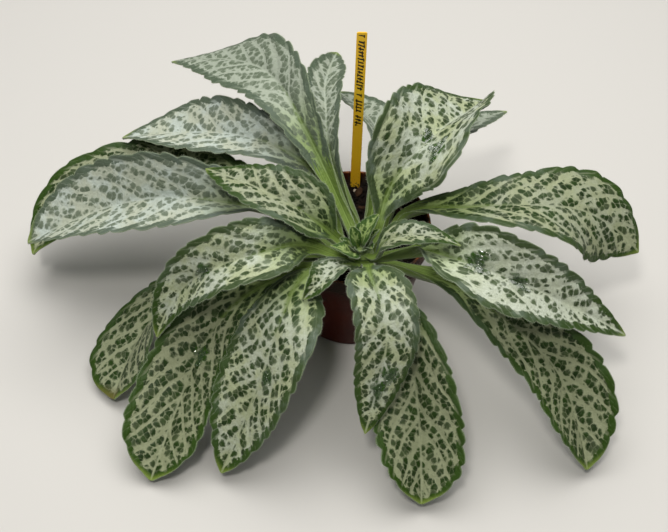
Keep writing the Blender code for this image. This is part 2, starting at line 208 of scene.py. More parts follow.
@dataclass(frozen=True)
class Sketch:
    """Adds shader nodes to one tree and joins them."""

    tree: bpy.types.NodeTree

    def feed(self, socket: bpy.types.NodeSocket, value: object) -> None:
        """Links a value into an input, or sets the input's own number, place or colour.

        Args:
            socket: the input.
            value: what goes into it.
        """
        if isinstance(value, Value):
            self.tree.links.new(value.socket, socket)
        else:
            socket.default_value = (*value, 1.0) if socket.type == "RGBA" else value

    def node(self, kind: str, inputs: dict, out: object = 0, **settings: object) -> Value:
        """Adds a node.

        Args:
            kind: its type's name, without the ShaderNode prefix.
            inputs: what goes into it, by the input's name or number.
            out: the name or number of the output that is read.
            **settings: properties to set on it.

        Returns:
            That output.
        """
        made = self.tree.nodes.new("ShaderNode" + kind)
        for name, value in settings.items():
            setattr(made, name, value)
        for socket, value in inputs.items():
            self.feed(made.inputs[socket], value)
        return Value(self, made.outputs[out])

    def math(self, operation: str, a: object, b: object = 0.0) -> Value:
        """What this operation makes of two values."""
        return self.node("Math", {0: a, 1: b}, operation=operation)

    def mix(self, share: object, a: object, b: object) -> Value:
        """Colour a, with this share of colour b mixed in."""
        return self.node("Mix", {0: share, 6: a, 7: b}, 2, data_type="RGBA")

    def layers(self, colour: object, *coats: tuple[object, object]) -> object:
        """Lays coats of colour over each other.

        Args:
            colour: the first colour.
            *coats: the share and the colour of each further coat.

        Returns:
            The mixed colour.
        """
        for share, coat in coats:
            colour = self.mix(share, colour, coat)
        return colour

    def noise(self, where: Value, scale: object, detail: float = 2.0, rough: float = 0.5) -> Value:
        """Noise of this scale, with detail for its finer layers and rough for their strength."""
        return self.node("TexNoise", {"Vector": where, "Scale": scale, "Detail": detail, "Roughness": rough})

    def cells(self, where: Value, scale: float, loose: float, feature: str = "F1") -> Value:
        """The distance in flat Voronoi cells of this scale, whose middles stray by loose from a grid."""
        inputs = {"Vector": where, "Scale": scale, "Randomness": loose}
        return self.node("TexVoronoi", inputs, voronoi_dimensions="2D", feature=feature)

    def join(self, x: object, y: object) -> Value:
        """The flat place of two numbers."""
        return self.node("CombineXYZ", {0: x, 1: y})

    def map(self, layer: str) -> Value:
        """The place given by one of the mesh's UV maps."""
        return self.node("UVMap", {}, uv_map=layer)

    def place(self) -> Value:
        """The place on the object, in metres."""
        return self.node("TexCoord", {}, "Object")

    def bump(self, height: Value, distance: float, strength: float) -> Value:
        """The normal for a height, where a height of 1 stands for this distance."""
        return self.node("Bump", {"Height": height, "Distance": distance, "Strength": strength})


class Effect:
    """A shader node group that is built once and placed in each finish that uses it."""

    name = ""
    inputs: dict[str, str] = {}
    outputs: tuple[str, ...] = ()

    def place(self, sketch: Sketch, **values: object) -> Value:
        """The group's first output, once it stands in a material with these values in its inputs."""
        return sketch.node("Group", values, node_tree=bpy.data.node_groups.get(self.name) or self.build())

    def build(self) -> bpy.types.NodeTree:
        """Makes the group's sockets and its inside.

        Returns:
            The new group.
        """
        tree = bpy.data.node_groups.new(self.name, "ShaderNodeTree")
        for name, kind in self.inputs.items():
            tree.interface.new_socket(name, in_out="INPUT", socket_type="NodeSocket" + kind)
        for name in self.outputs:
            tree.interface.new_socket(name, in_out="OUTPUT", socket_type="NodeSocketFloat")
        sketch = Sketch(tree)
        given = tree.nodes.new("NodeGroupInput").outputs
        result = tree.nodes.new("NodeGroupOutput").inputs
        made = self.inside(sketch, *(Value(sketch, given[name]) for name in self.inputs))
        for name, value in zip(self.outputs, made):
            sketch.feed(result[name], value)
        return tree

    def inside(self, sketch: Sketch, *given: Value) -> Values:
        """What goes to each output, made of the inputs."""
        raise NotImplementedError


class FineGrain(Effect):
    """The fine uneven grain that every surface here has, from soil to moulded plastic."""

    name = "fine grain"
    inputs = {"Place": "Vector", "Scale": "Float", "Coarse": "Float"}
    outputs = ("Tone", "Height")

    def inside(self, sketch: Sketch, place: Value, scale: Value, coarse: Value) -> Values:
        """The tone and the height, from a fine and a coarse noise."""
        fine = sketch.noise(place, scale, 3.0, 0.6)
        return (sketch.noise(place, coarse) * 0.7 + fine * 0.3).ramp(0.3, 0.7), fine


class Specks(Effect):
    """Crumbs and splashes of dry soil, thickest near the soil's level."""

    name = "soil specks"
    inputs = {"Place": "Vector", "Level": "Float", "Spread": "Float", "Cover": "Float"}
    outputs = ("Mask",)

    def inside(self, sketch: Sketch, place: Value, level: Value, spread: Value, cover: Value) -> Values:
        """Builds the specks.

        Args:
            sketch: the group's tree.
            place: the place on the object.
            level: the height where they are thickest.
            spread: how far they spread from it.
            cover: how many there are.

        Returns:
            1 where a speck lies.
        """
        near = (1.0 - abs(place.split()[2] - level) / spread).held()
        edge = 0.74 - (near + 0.12) * sketch.noise(place, 110.0) * cover
        return (sketch.noise(place, 950.0, 3.0, 0.7).ramp(edge, edge + 0.05),)


class SilverMarking(Effect):
    """The plant's pattern: cream between dark clusters of dots, inside a plain green margin.

    Veins counts the lateral veins on X and the clusters between them on Y. Margin holds the distance to the
    edge and to the midrib, in centimetres. Growth holds the share of the leaf's length and the leaf's tone.
    """

    name = "silver marking"
    inputs = {"Veins": "Vector", "Margin": "Vector", "Growth": "Vector"}
    outputs = ("Silver", "Band", "Stalk", "Relief")

    dots = 2.3
    dots_loose = 0.85
    clusters_loose = 0.55
    dot_size = 0.68
    largest_dot = 0.66
    band_width = 0.30

    def inside(self, sketch: Sketch, veins: Value, margin: Value, growth: Value) -> Values:
        """Builds the marking.

        Args:
            sketch: the group's tree.
            veins: the place among the veins.
            margin: the distances to the edge and to the midrib.
            growth: the share of the length and the tone.

        Returns:
            Silver, 1 on the cream; Band, 1 on the margin; Stalk, 1 on the green base; Relief, the height of
            the flesh between the fine veins.
        """
        edge, middle, _ = margin.split()
        share, tone, _ = growth.split()
        loose = veins.strayed(1.6, 0.24)
        shaken = loose.strayed(3.0, 0.24).strayed(9.5, 0.10)
        net = sketch.cells(shaken, self.dots, self.dots_loose, "DISTANCE_TO_EDGE")
        stream = (self.vein_line(loose) + sketch.noise(loose, 3.0) * 0.16).ramp(0.79, 0.95)
        base = middle.ramp(0.2, 1.3, 1.0, 0.35) * share.ramp(0.3, 0.55, 1.0, 0.0) * 0.24
        # The tone term makes the dots of high-tone leaves larger: partly the leaf's own marking, partly
        # painted shade.
        more = (sketch.noise(loose, 0.5) - 0.5) * 0.42 + (tone - 0.6) * 0.3 + base
        dark = self.clusters(sketch, shaken, more + share.ramp(0.75, 1.0, 0.0, 0.08))
        dark = dark * net.ramp(0.0, 0.09, 0.74, 1.0) * (1.0 - stream)
        band = self.band(sketch, veins, edge, share, stream)
        stalk = self.stalk(sketch, middle, share)
        rib = middle.ramp(0.03, 0.09, 1.0, 0.0)
        cover = (dark | band | stalk) * (1.0 - rib * share.ramp(0.45, 0.62, 0.0, 0.75))
        return (1.0 - cover).held(), band, stalk, net.ramp(0.0, 0.3) * (1.0 - rib)

    def vein_line(self, where: Value) -> Value:
        """How near a place is to a lateral vein: 0 midway between two veins, and 1 on a vein."""
        return where.split()[0].whole()

    def clusters(self, sketch: Sketch, shaken: Value, more: Value) -> Value:
        """The dark dots: large and merged in the middle of each cluster, small or missing between clusters.

        Args:
            sketch: the group's tree.
            shaken: the place among the veins, strayed finely.
            more: what is added to the dots' radius.

        Returns:
            From 0 on the cream to 1 in the darkest dots.
        """
        dot = sketch.cells(shaken, self.dots, self.dots_loose)
        at, chance = dot.other("Position"), sketch.node("SeparateColor", {0: dot.other("Color")})
        shift = (0.5 - self.clusters_loose / 2.0, 0.0, 0.0)
        moved = sketch.node("VectorMath", {0: at, 1: shift}, operation="SUBTRACT")
        near = sketch.cells(moved, 1.0, self.clusters_loose).ramp(0.16, 0.72, self.dot_size, 0.16)
        size = near + more + chance * 0.16 + self.vein_line(at).ramp(0.5, 1.0, 0.06, -0.34)
        size = sketch.math("MINIMUM", size, self.largest_dot)
        ragged = sketch.noise(shaken, 6.5, 2.5, 0.6) + sketch.noise(shaken, 21.0, 2.0, 0.7) - 1.0
        held = (dot + ragged * 0.5 - size).ramp(-0.28, 0.13, 1.0, 0.0)
        uneven = sketch.noise(shaken, 4.0, 2.0, 0.6).ramp(0.33, 0.5, 0.90, 1.0)
        return held * chance.other(1).ramp(0.0, 0.5, 0.86, 1.0) * uneven

    def band(self, sketch: Sketch, veins: Value, edge: Value, share: Value, stream: Value) -> Value:
        """The green margin, with a ragged inner side.

        Args:
            sketch: the group's tree.
            veins: the place among the veins.
            edge: the distance to the leaf's edge.
            share: the share of the leaf's length.
            stream: the cream lines along the lateral veins.

        Returns:
            1 on the margin.
        """
        count, along, _ = veins.split()
        width = (sketch.noise(veins, 0.7, 1.0) * 0.22 + self.band_width) * share.ramp(0.80, 1.0, 1.0, 0.75)
        lobes = (sketch.noise(veins, 2.6, 1.0) - 0.5) * 0.34
        fringe = (sketch.noise(veins, 9.0, 2.0, 0.6) - 0.5) * 0.24
        band = (edge + lobes + fringe - width).ramp(-0.03, 0.03, 1.0, 0.0)
        fine = self.vein_line(sketch.join(count * 2.0, along).strayed(2.5, 0.5)).ramp(0.84, 0.98, 0.0, 0.2)
        return band * (1.0 - (stream * 0.4 * edge.ramp(0.12, 0.3) | fine))

    def stalk(self, sketch: Sketch, middle: Value, share: Value) -> Value:
        """The green stalk and the wings above it, which pass into the cream in long streaks.

        Args:
            sketch: the group's tree.
            middle: the distance to the midrib.
            share: the share of the leaf's length.

        Returns:
            1 on the stalk.
        """
        streaks = sketch.noise(sketch.join(middle * 16.0, share), 1.0)
        wing = (share - (streaks * 0.16 + 0.17)).ramp(-0.012, 0.015, 1.0, 0.0)
        width = share.ramp(0.2, 0.55, 0.34, 0.10)
        return wing | middle.ramp(width * 0.25, width, 0.75, 0.0) * share.ramp(0.30, 0.62, 1.0, 0.0)


GRAIN = FineGrain()
SPECKS = Specks()
MARKING = SilverMarking()


@dataclass(frozen=True)
class Finish:
    """A material with one shader, painted by each kind of finish in its own way."""

    name: str

    def paint(self, sketch: Sketch) -> Paint:
        """What goes into the shader's sockets, plain or changing over the surface."""
        raise NotImplementedError

    def make(self) -> bpy.types.Material:
        """Makes the material.

        Returns:
            The finished material.
        """
        made = bpy.data.materials.new(self.name)
        made.use_nodes = True
        sketch = Sketch(made.node_tree)
        for socket, value in self.paint(sketch).items():
            sketch.feed(made.node_tree.nodes["Principled BSDF"].inputs[socket], value)
        return made


@dataclass(frozen=True)
class LeafUpper(Finish):
    """The upper face of a leaf: cream and green, softly felted, wet in places."""

    name: str = "silver leaf, upper face"
    cream: Colour = (0.54, 0.59, 0.49)
    warm_cream: Colour = (0.46, 0.51, 0.31)
    # The bright and the dull cream are painted light and painted shade: lit and shaded copies of the cream,
    # picked by each leaf's tone.
    painted_light_cream: Colour = (0.68, 0.73, 0.60)
    painted_shade_cream: Colour = (0.30, 0.325, 0.195)
    root_cream: Colour = (0.25, 0.36, 0.085)
    shade: Colour = (0.22, 0.25, 0.13)
    green: Colour = (0.006, 0.020, 0.0005)
    mid_green: Colour = (0.018, 0.048, 0.003)
    # This colour and the grey margin below are partly the felt's own grey and partly painted sheen.
    felt_and_painted_sheen: Colour = (0.110, 0.148, 0.078)
    margin: Colour = (0.065, 0.098, 0.038)
    sheen_grey_margin: Colour = (0.135, 0.175, 0.130)
    far_margin: Colour = (0.034, 0.080, 0.004)
    stalk: Colour = (0.20, 0.29, 0.060)
    stalk_line: Colour = (0.10, 0.165, 0.025)
    tip: Colour = (0.23, 0.31, 0.055)
    old: Colour = (0.12, 0.085, 0.02)
    rim: Colour = (0.30, 0.36, 0.22)
    soaked: Colour = (0.024, 0.080, 0.002)
    roughness: float = 0.5
    wet_roughness: float = 0.10
    sheen: float = 0.02
    gloss: float = 0.18

    def paint(self, sketch: Sketch) -> Paint:
        """Paints the cream, the dots and the margin, with the down, painted sheen and the water over them,
        and painted light and shade by the leaf's tone.

        Args:
            sketch: the material's tree.

        Returns:
            What goes into the shader.
        """
        margin, growth, place = sketch.map(Layer.MARGIN), sketch.map(Layer.GROWTH), sketch.place()
        silver = MARKING.place(sketch, Veins=sketch.map(Layer.VEINS), Margin=margin, Growth=growth)
        grain = GRAIN.place(sketch, Place=place, Scale=2600.0, Coarse=160.0)
        (edge, middle, _), (share, tone, _) = margin.split(), growth.split()
        wet, age, _ = sketch.map(Layer.WATER).split()
        # This noise lays patches of bluish cream, of grey margin and of grey over the dark dots: partly the
        # felt's own grey, partly painted sheen.
        felt_and_painted_sheen, puddles = sketch.noise(place, 75.0, 3.0, 0.6), sketch.noise(place, 640.0, 2.0, 0.55)
        fuzz = sketch.noise(place, 1250.0, 1.0).ramp(0.36, 0.64, 0.0, 0.24)
        spared = tone.ramp(0.3, 0.8, 1.1, 0.1)
        light = sketch.layers(
            self.warm_cream,
            (felt_and_painted_sheen.ramp(0.38, 0.62), self.cream),
            # Painted light: low-tone leaves get a brighter cream, as if lit more strongly.
            (tone.ramp(0.1, 0.5, 0.8, 0.0), self.painted_light_cream),
            # Painted shade: the leaf's tone dulls its cream, as if the leaf stood in shade.
            (tone.ramp(0.5, 0.9), self.painted_shade_cream),
            (grain * 0.25, self.shade),
            (fuzz, self.shade),
            (share.ramp(0.26, 0.50, 0.8, 0.0), self.root_cream),
        )
        band = sketch.layers(
            self.margin,
            (felt_and_painted_sheen.ramp(0.45, 0.65), self.sheen_grey_margin),
            (share.ramp(0.45, 0.95, 0.0, 0.9), self.far_margin),
            (tone.ramp(0.6, 0.95, 0.0, 0.7), self.far_margin),
            (grain * 0.35, self.green),
        )
        lines = sketch.noise(sketch.join(middle * 22.0, share), 1.0).ramp(0.4, 0.65)
        # Painted sheen on the dark dots: stronger on low-tone leaves, which stand in more light, and weaker
        # towards the tip. spared is that share, taken from the tone.
        painted_sheen_share = felt_and_painted_sheen.ramp(0.36, 0.62, 0.1, 0.95) * spared * share.ramp(0.45, 0.85, 1.0, 0.4)
        dark = sketch.layers(
            self.green,
            (grain, self.mid_green),
            (painted_sheen_share, self.felt_and_painted_sheen),
            (fuzz * spared * 0.4, self.shade),
            (silver.other("Band") * 0.8, band),
            (silver.other("Stalk") * 0.9, sketch.mix(lines, self.stalk, self.stalk_line)),
        )
        damp = (wet + puddles).ramp(0.90, 1.00)
        colour = sketch.layers(
            dark,
            (silver, light),
            ((share - edge * 0.12).ramp(0.93, 1.0, 0.0, 0.75), self.tip),
            (edge.ramp(0.01, 0.035, 0.4, 0.0), self.rim),
            (age, self.old),
            (damp * (0.88 - silver * 0.72), self.soaked),
        )
        height = grain.other("Height") * 0.28 + silver.other("Relief") * 0.72 + puddles * damp * 3.0
        return {
            "Base Color": colour,
            "Roughness": damp.ramp(0.0, 1.0, self.roughness, self.wet_roughness),
            "Coat Weight": damp * 0.5,
            "Coat Roughness": 0.03,
            "Coat IOR": 1.5,
            "Sheen Weight": self.sheen,
            "Sheen Roughness": 0.45,
            "Specular IOR Level": self.gloss,
            "Normal": sketch.bump(height, 0.0003, 0.6),
        }


YOUNG_UPPER = LeafUpper(
    name="young leaf, upper face",
    cream=(0.36, 0.46, 0.20),
    warm_cream=(0.28, 0.38, 0.09),
    painted_shade_cream=(0.31, 0.42, 0.13),
    root_cream=(0.20, 0.32, 0.05),
    green=(0.020, 0.060, 0.004),
    mid_green=(0.045, 0.105, 0.012),
    felt_and_painted_sheen=(0.08, 0.13, 0.05),
    margin=(0.045, 0.095, 0.018),
    sheen_grey_margin=(0.07, 0.12, 0.045),
    far_margin=(0.045, 0.095, 0.018),
)

# The frosted copy of the upper face is partly painted sheen and painted shade: darks greyed as lit felt
# looks, and a duller cream for the back leaves.
FROSTED_SHEEN_UPPER = LeafUpper(
    name="frosted leaf, upper face",
    cream=(0.56, 0.63, 0.58),
    warm_cream=(0.52, 0.55, 0.43),
    painted_shade_cream=(0.36, 0.405, 0.32),
    shade=(0.36, 0.40, 0.31),
    green=(0.100, 0.130, 0.080),
    mid_green=(0.140, 0.175, 0.115),
    felt_and_painted_sheen=(0.210, 0.250, 0.200),
    margin=(0.090, 0.120, 0.085),
    sheen_grey_margin=(0.135, 0.172, 0.152),
    far_margin=(0.072, 0.105, 0.062),
)


@dataclass(frozen=True)
class LeafUnder(Finish):
    """The underside of a leaf: dull olive, with paler raised veins."""

    name: str = "silver leaf, underside"
    flesh: Colour = (0.105, 0.150, 0.055)
    deep: Colour = (0.065, 0.100, 0.035)
    vein: Colour = (0.22, 0.29, 0.11)
    stalk: Colour = (0.12, 0.19, 0.03)

    def paint(self, sketch: Sketch) -> Paint:
        """Paints the flesh, the net of veins and the stalk.

        Args:
            sketch: the material's tree.

        Returns:
            What goes into the shader.
        """
        veins = sketch.map(Layer.VEINS).strayed(1.5, 0.2)
        middle, share = sketch.map(Layer.MARGIN).split()[1], sketch.map(Layer.GROWTH).split()[0]
        grain = GRAIN.place(sketch, Place=sketch.place(), Scale=2200.0, Coarse=140.0)
        lines = MARKING.vein_line(veins).ramp(0.88, 0.96) | middle.ramp(0.08, 0.16, 1.0, 0.0)
        lines = lines | sketch.cells(veins, 3.0, 0.8, "DISTANCE_TO_EDGE").ramp(0.03, 0.09, 0.5, 0.0)
        lines = lines * share.ramp(0.16, 0.3)
        coats = (grain, self.deep), (lines * 0.7, self.vein), (share.ramp(0.2, 0.36, 1.0, 0.0), self.stalk)
        return {
            "Base Color": sketch.layers(self.flesh, *coats),
            "Roughness": 0.6,
            "Sheen Weight": 0.3,
            "Sheen Roughness": 0.5,
            "Normal": sketch.bump(lines * 0.7 + grain.other("Height") * 0.3, 0.0004, 0.8),
        }


@dataclass(frozen=True)
class Felt(Finish):
    """The fine hairs on the leaves' edges and stalks."""

    name: str = "leaf hairs"
    colour: Colour = (0.62, 0.68, 0.52)
    dull: Colour = (0.42, 0.5, 0.3)

    def paint(self, sketch: Sketch) -> Paint:
        """The hairs' uneven colour and their soft shine."""
        colour = sketch.mix(sketch.noise(sketch.place(), 400.0, 1.0), self.colour, self.dull)
        return {"Base Color": colour, "Roughness": 0.55, "Sheen Weight": 0.3}


@dataclass(frozen=True)
class Water(Finish):
    """Clear drops of water, which deepen the green under them."""

    name: str = "clear water"
    colour: Colour = (0.030, 0.085, 0.004)

    def paint(self, sketch: Sketch) -> Paint:
        """A thin, very glossy skin."""
        gloss = {"Roughness": 0.04, "IOR": 1.8, "Specular IOR Level": 1.0}
        return {"Base Color": self.colour, "Alpha": 0.3, **gloss}


@dataclass(frozen=True)
class StemSkin(Finish):
    """The stem: green at the top, corky brown at the soil."""

    name: str = "stem skin"
    green: Colour = (0.12, 0.19, 0.035)
    pale: Colour = (0.22, 0.30, 0.08)
    cork: Colour = (0.07, 0.042, 0.018)
    cork_level: float = 66.0 * MM

    def paint(self, sketch: Sketch) -> Paint:
        """Paints the green skin and the cork that climbs it.

        Args:
            sketch: the material's tree.

        Returns:
            What goes into the shader.
        """
        grain = GRAIN.place(sketch, Place=sketch.place(), Scale=1500.0, Coarse=220.0)
        rise = grain * 0.006 + sketch.place().split()[2]
        corky = rise.ramp(self.cork_level - 0.002, self.cork_level + 0.006, 1.0, 0.0)
        return {
            "Base Color": sketch.layers(self.green, (grain, self.pale), (corky, self.cork)),
            "Roughness": corky.ramp(0.0, 1.0, 0.5, 0.85),
            "Sheen Weight": 0.25,
            "Normal": sketch.bump(grain.other("Height"), 0.0005, 0.8),
        }


@dataclass(frozen=True)
class PotPlastic(Finish):
    """Thin brown moulded plastic, coloured at its shadowed tone as painted shade, with a lighter rim top that
    is partly scuffing and partly painted light, and splashed with soil inside and at the rim.
    """

    name: str = "brown pot plastic"
    # Painted shade: the brown and the deep brown are the plastic darkened to its shadowed tone.
    brown: Colour = (0.072, 0.008, 0.002)
    deep: Colour = (0.040, 0.005, 0.002)
    scuffed_and_lit: Colour = (0.30, 0.10, 0.030)
    dirt: Colour = (0.045, 0.032, 0.022)
    lit_rim_from: float = 64.6 * MM
    lit_rim_to: float = 65.8 * MM

    def paint(self, sketch: Sketch) -> Paint:
        """Paints the plastic at its shadowed tone, its drawn streaks, the rim top lightened by scuffing and
        painted light, and the soil on it.

        Args:
            sketch: the material's tree.

        Returns:
            What goes into the shader.
        """
        place = sketch.place()
        grain = GRAIN.place(sketch, Place=place, Scale=2000.0, Coarse=70.0)
        soiled = SPECKS.place(sketch, Place=place, Level=0.060, Spread=0.028, Cover=0.55)
        streaks = sketch.node("Mapping", {"Vector": place, "Scale": (1.0, 1.0, 0.04)})
        drawn = sketch.noise(streaks, 420.0, 2.0, 0.6)
        # The rim top is lightened: partly scuffing, partly painted light where the rim catches the lamp.
        worn_and_lit_rim = place.split()[2].ramp(self.lit_rim_from, self.lit_rim_to) * (drawn * 0.7 + 0.35)
        coats = (grain, self.deep), (worn_and_lit_rim, self.scuffed_and_lit), (soiled, self.dirt)
        return {
            "Base Color": sketch.layers(self.brown, *coats),
            "Roughness": (drawn * 0.18 + 0.34) | (soiled * 0.9),
            "Specular IOR Level": 0.18,
            "Normal": sketch.bump(drawn * 0.35 + soiled * 0.6, 0.00025, 0.6),
        }


@dataclass(frozen=True)
class SoilGrain(Finish):
    """One ingredient of the soil."""

    dark: Colour
    light: Colour
    roughness: float

    def paint(self, sketch: Sketch) -> Paint:
        """Paints the grains.

        Args:
            sketch: the material's tree.

        Returns:
            What goes into the shader.
        """
        grain = GRAIN.place(sketch, Place=sketch.place(), Scale=2400.0, Coarse=300.0)
        return {
            "Base Color": sketch.mix(grain, self.dark, self.light),
            "Roughness": grain * 0.12 + self.roughness,
            "Specular IOR Level": 0.12,
            "Normal": sketch.bump(grain.other("Height"), 0.0006, 0.9),
        }


class Grit(Enum):
    """What the soil is mixed from."""

    # The peat's near-black is partly its own colour and partly painted shade of the pot's deep inside.
    PEAT = SoilGrain("soil, peat", (0.004, 0.003, 0.002), (0.015, 0.009, 0.006), 0.82)
    BARK = SoilGrain("soil, bark", (0.030, 0.014, 0.007), (0.075, 0.040, 0.020), 0.77)
    PERLITE = SoilGrain("soil, perlite", (0.62, 0.56, 0.46), (0.42, 0.33, 0.22), 0.67)


@dataclass(frozen=True)
class LabelPlastic(Finish):
    """Yellow strip plastic, brightened beyond its own colour as painted light through the strip, with plain
    tally strokes of a pen that has bled a little.
    """

    name: str = "yellow label plastic"
    # The yellow and the amber are pushed near full brightness: painted light, standing for light through the
    # translucent strip.
    yellow: Colour = (1.0, 0.66, 0.030)
    amber: Colour = (1.0, 0.54, 0.016)
    ink: Colour = (0.010, 0.006, 0.004)
    dirt: Colour = (0.05, 0.034, 0.02)
    pitch: float = 0.21
    thin: float = 0.54
    thick: float = 0.40
    first: float = 6.2
    last: float = 12.15
    faded: float = 0.05

    def paint(self, sketch: Sketch) -> Paint:
        """Paints the strip, the strokes and the soil at its foot.

        Args:
            sketch: the material's tree.

        Returns:
            What goes into the shader.
        """
        place, strip = sketch.place(), sketch.map("strip")
        grain = GRAIN.place(sketch, Place=place, Scale=1800.0, Coarse=60.0)
        soiled = SPECKS.place(sketch, Place=place, Level=0.060, Spread=0.016, Cover=0.45)
        foot = strip.split()[1].ramp(2.2, 9.0, 0.75, 0.0)
        inked = self.strokes(sketch, strip)
        coats = (grain, self.amber), (foot, self.amber), (inked, self.ink), (soiled, self.dirt)
        return {
            "Base Color": sketch.layers(self.yellow, *coats),
            "Roughness": grain * 0.16 + 0.36,
            "Normal": sketch.bump(grain.other("Height"), 0.0001, 0.5),
        }

    def strokes(self, sketch: Sketch, strip: Value) -> Value:
        """Pen strokes across the strip, of uneven length and lean, with gaps between groups of them.

        Args:
            sketch: the material's tree.
            strip: the place on the strip, in centimetres.

        Returns:
            1 on the ink.
        """
        across, up, _ = strip.strayed(3.5, 0.09).split()
        count = (across * 0.35 + up) / self.pitch
        whole = sketch.math("FLOOR", count)
        chance = sketch.node("TexWhiteNoise", {"W": whole}, "Value", noise_dimensions="1D")
        side = sketch.node("SeparateColor", {0: chance.other("Color")}, 1).ramp(0.3, 0.7, -0.13, 0.13)
        bar = abs(across - side).ramp(0.025, 0.045, 1.0, 0.0)
        inside = (abs(across) - (chance * 0.07 + 0.12)).ramp(-0.01, 0.012, 1.0, 0.0)
        start, end = self.first, self.last
        span = up.ramp(start, start + self.faded) * up.ramp(end - self.faded, end, 1.0, 0.0)
        front = sketch.math("LESS_THAN", sketch.node("NewGeometry", {}, "Normal").split()[1], -0.5)
        drawn = sketch.math("GREATER_THAN", chance, 0.16)
        return (count.whole().ramp(self.thin, self.thick) | bar) * drawn * inside * span * front


@dataclass(frozen=True)
class StudioFloor(Finish):
    """The plain pale floor."""

    name: str = "studio floor"
    colour: Colour = (0.66, 0.64, 0.60)

    def paint(self, sketch: Sketch) -> Paint:
        """One dull colour."""
        return {"Base Color": self.colour, "Roughness": 0.7}


def between(values: tuple[float, ...], shares: Points) -> Points:
    """Values at these shares of the way along, eased from each to the next.

    Args:
        values: the values at even steps.
        shares: places from 0 to 1.

    Returns:
        The eased values.
    """
    place = np.clip(shares, 0.0, 1.0) * (len(values) - 1)
    first = np.minimum(place.astype(int), len(values) - 2)
    part, held = smooth(place - first, 0.0, 1.0), np.asarray(values, float)
    return held[first] * (1.0 - part) + held[first + 1] * part


def smooth(values: Points, low: float, high: float) -> Points:
    """Eases from 0 to 1 as the values go from low to high."""
    part = np.clip((values - low) / (high - low), 0.0, 1.0)
    return part * part * (3.0 - 2.0 * part)


def unit(vectors: Points) -> Points:
    """The vectors at length 1."""
    return vectors / np.maximum(np.linalg.norm(vectors, axis=-1, keepdims=True), 1e-12)


def walk(line: Points) -> Points:
    """How far a line of points has run at each of them."""
    return np.concatenate(((0.0,), np.cumsum(np.linalg.norm(np.diff(line, axis=0), axis=1))))


def heading(degrees: float) -> Points:
    """The level direction at this angle from +X."""
    return np.array((math.cos(math.radians(degrees)), math.sin(math.radians(degrees)), 0.0))


def ring(radius: Points | float, height: float, sides: int) -> Points:
    """A level ring of points, counter-clockwise from +X, with one radius for all or one for each."""
    turn = np.arange(sides) / sides * TURN
    return np.stack((np.cos(turn) * radius, np.sin(turn) * radius, np.full(sides, height)), axis=1)


def tube_faces(rows: int, around: int) -> Points:
    """The faces of a closed tube: its points run round each row, and its two ends' middles come last.

    Args:
        rows: how many rows of points there are.
        around: the points in a row.

    Returns:
        Four points for each face, where a triangle ends in -1.
    """
    r, c = np.meshgrid(np.arange(rows - 1) * around, np.arange(around), indexing="ij")
    d = (c + 1) % around
    wall = np.stack((r + c, r + around + c, r + around + d, r + d), axis=-1).reshape(-1, 4)
    c, d, one, last = c[0], d[0], np.ones(around, int), (rows - 1) * around
    head = np.stack((c, d, one * rows * around, -one), axis=1)
    foot = np.stack((last + d, last + c, one * rows * around + 1, -one), axis=1)
    return np.concatenate((wall, head, foot))


def pebble() -> tuple[Points, Points]:
    """A small rounded body.

    Returns:
        Its points at radius 1 and its faces.
    """
    bm = bmesh.new()
    bmesh.ops.create_icosphere(bm, subdivisions=2, radius=1.0)
    points = np.array([v.co[:] for v in bm.verts])
    faces = np.array([[v.index for v in f.verts] + [-1] for f in bm.faces])
    bm.free()
    return points, faces


def mesh_of(bm: bmesh.types.BMesh, name: str) -> bpy.types.Mesh:
    """Turns a BMesh into a mesh, and frees it.

    Args:
        bm: the BMesh.
        name: the mesh's name.

    Returns:
        The mesh.
    """
    mesh = bpy.data.meshes.new(name)
    bm.to_mesh(mesh)
    bm.free()
    return mesh


def show(name: str, mesh: bpy.types.Mesh, materials: Materials) -> bpy.types.Object:
    """A named object of this mesh in the scene.

    Args:
        name: the object's name.
        mesh: its mesh.
        materials: its materials, in the order of their slots.

    Returns:
        The object.
    """
    obj = bpy.data.objects.new(name, mesh)
    for material in materials:
        mesh.materials.append(material)
    bpy.context.scene.collection.objects.link(obj)
    return obj


def settle(obj: bpy.types.Object, slot: Slot, *nodes: str) -> None:
    """Makes a piece ride on the object's one body and stand for its nodes.

    Args:
        obj: the piece.
        slot: the record's material slot; not used.
        *nodes: the nodes that it replaces.
    """
    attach(obj, BODY)
    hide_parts(*nodes)
    faces = sum(len(p.vertices) - 2 for p in obj.data.polygons)
    LOG.info("%s: %d triangles, stands for %s", obj.name, faces, ", ".join(nodes))


@dataclass(frozen=True)
class Spot:
    """A wet place on a leaf: its share of the length, its side from -1 to 1, and its radius."""

    share: float
    side: float
    radius: float


@dataclass(frozen=True)
class Leaf:
    """One leaf: where it grows on the stem, the line of its midrib, and how its blade spreads and turns.

    turn is the heading of the blade, and seat the heading round the stem and the height where the stalk
    starts. Each midrib point is (reach, side, height). Roll, fold and curl are angles at even steps from
    stalk to tip: roll tips the blade about its midrib, fold lifts both halves from it, and curl bends them
    down again. Angles are in degrees. tone is how dark the leaf is marked, and also its painted light and
    shade: a high tone dulls its cream with painted shade and thins its painted sheen, and a low tone
    brightens its cream with painted light. age is how far its tip has browned, and green the share of its
    length where the green stalk ends. A frosted leaf's hairs grey its colours, and its frosted upper face
    also carries painted sheen and painted shade.
    """

    name: str
    turn: float
    seat: tuple[float, float]
    midrib: tuple[Place, ...]
    width: float
    widest: float
    roll: tuple[float, ...]
    fold: tuple[float, ...]
    curl: tuple[float, ...]
    tip: float = 2.2
    teeth: int = 11
    stalk: float = STALK
    tone: float = 0.5
    age: float = 0.0
    green: float = 0.24
    wet: tuple[Spot, ...] = ()
    frosted_sheen: bool = False


@dataclass(frozen=True)
class YoungLeaf(Leaf):
    """A small leaf of the rosette's heart."""

    teeth: int = 4
    tone: float = 0.85
    green: float = 0.12


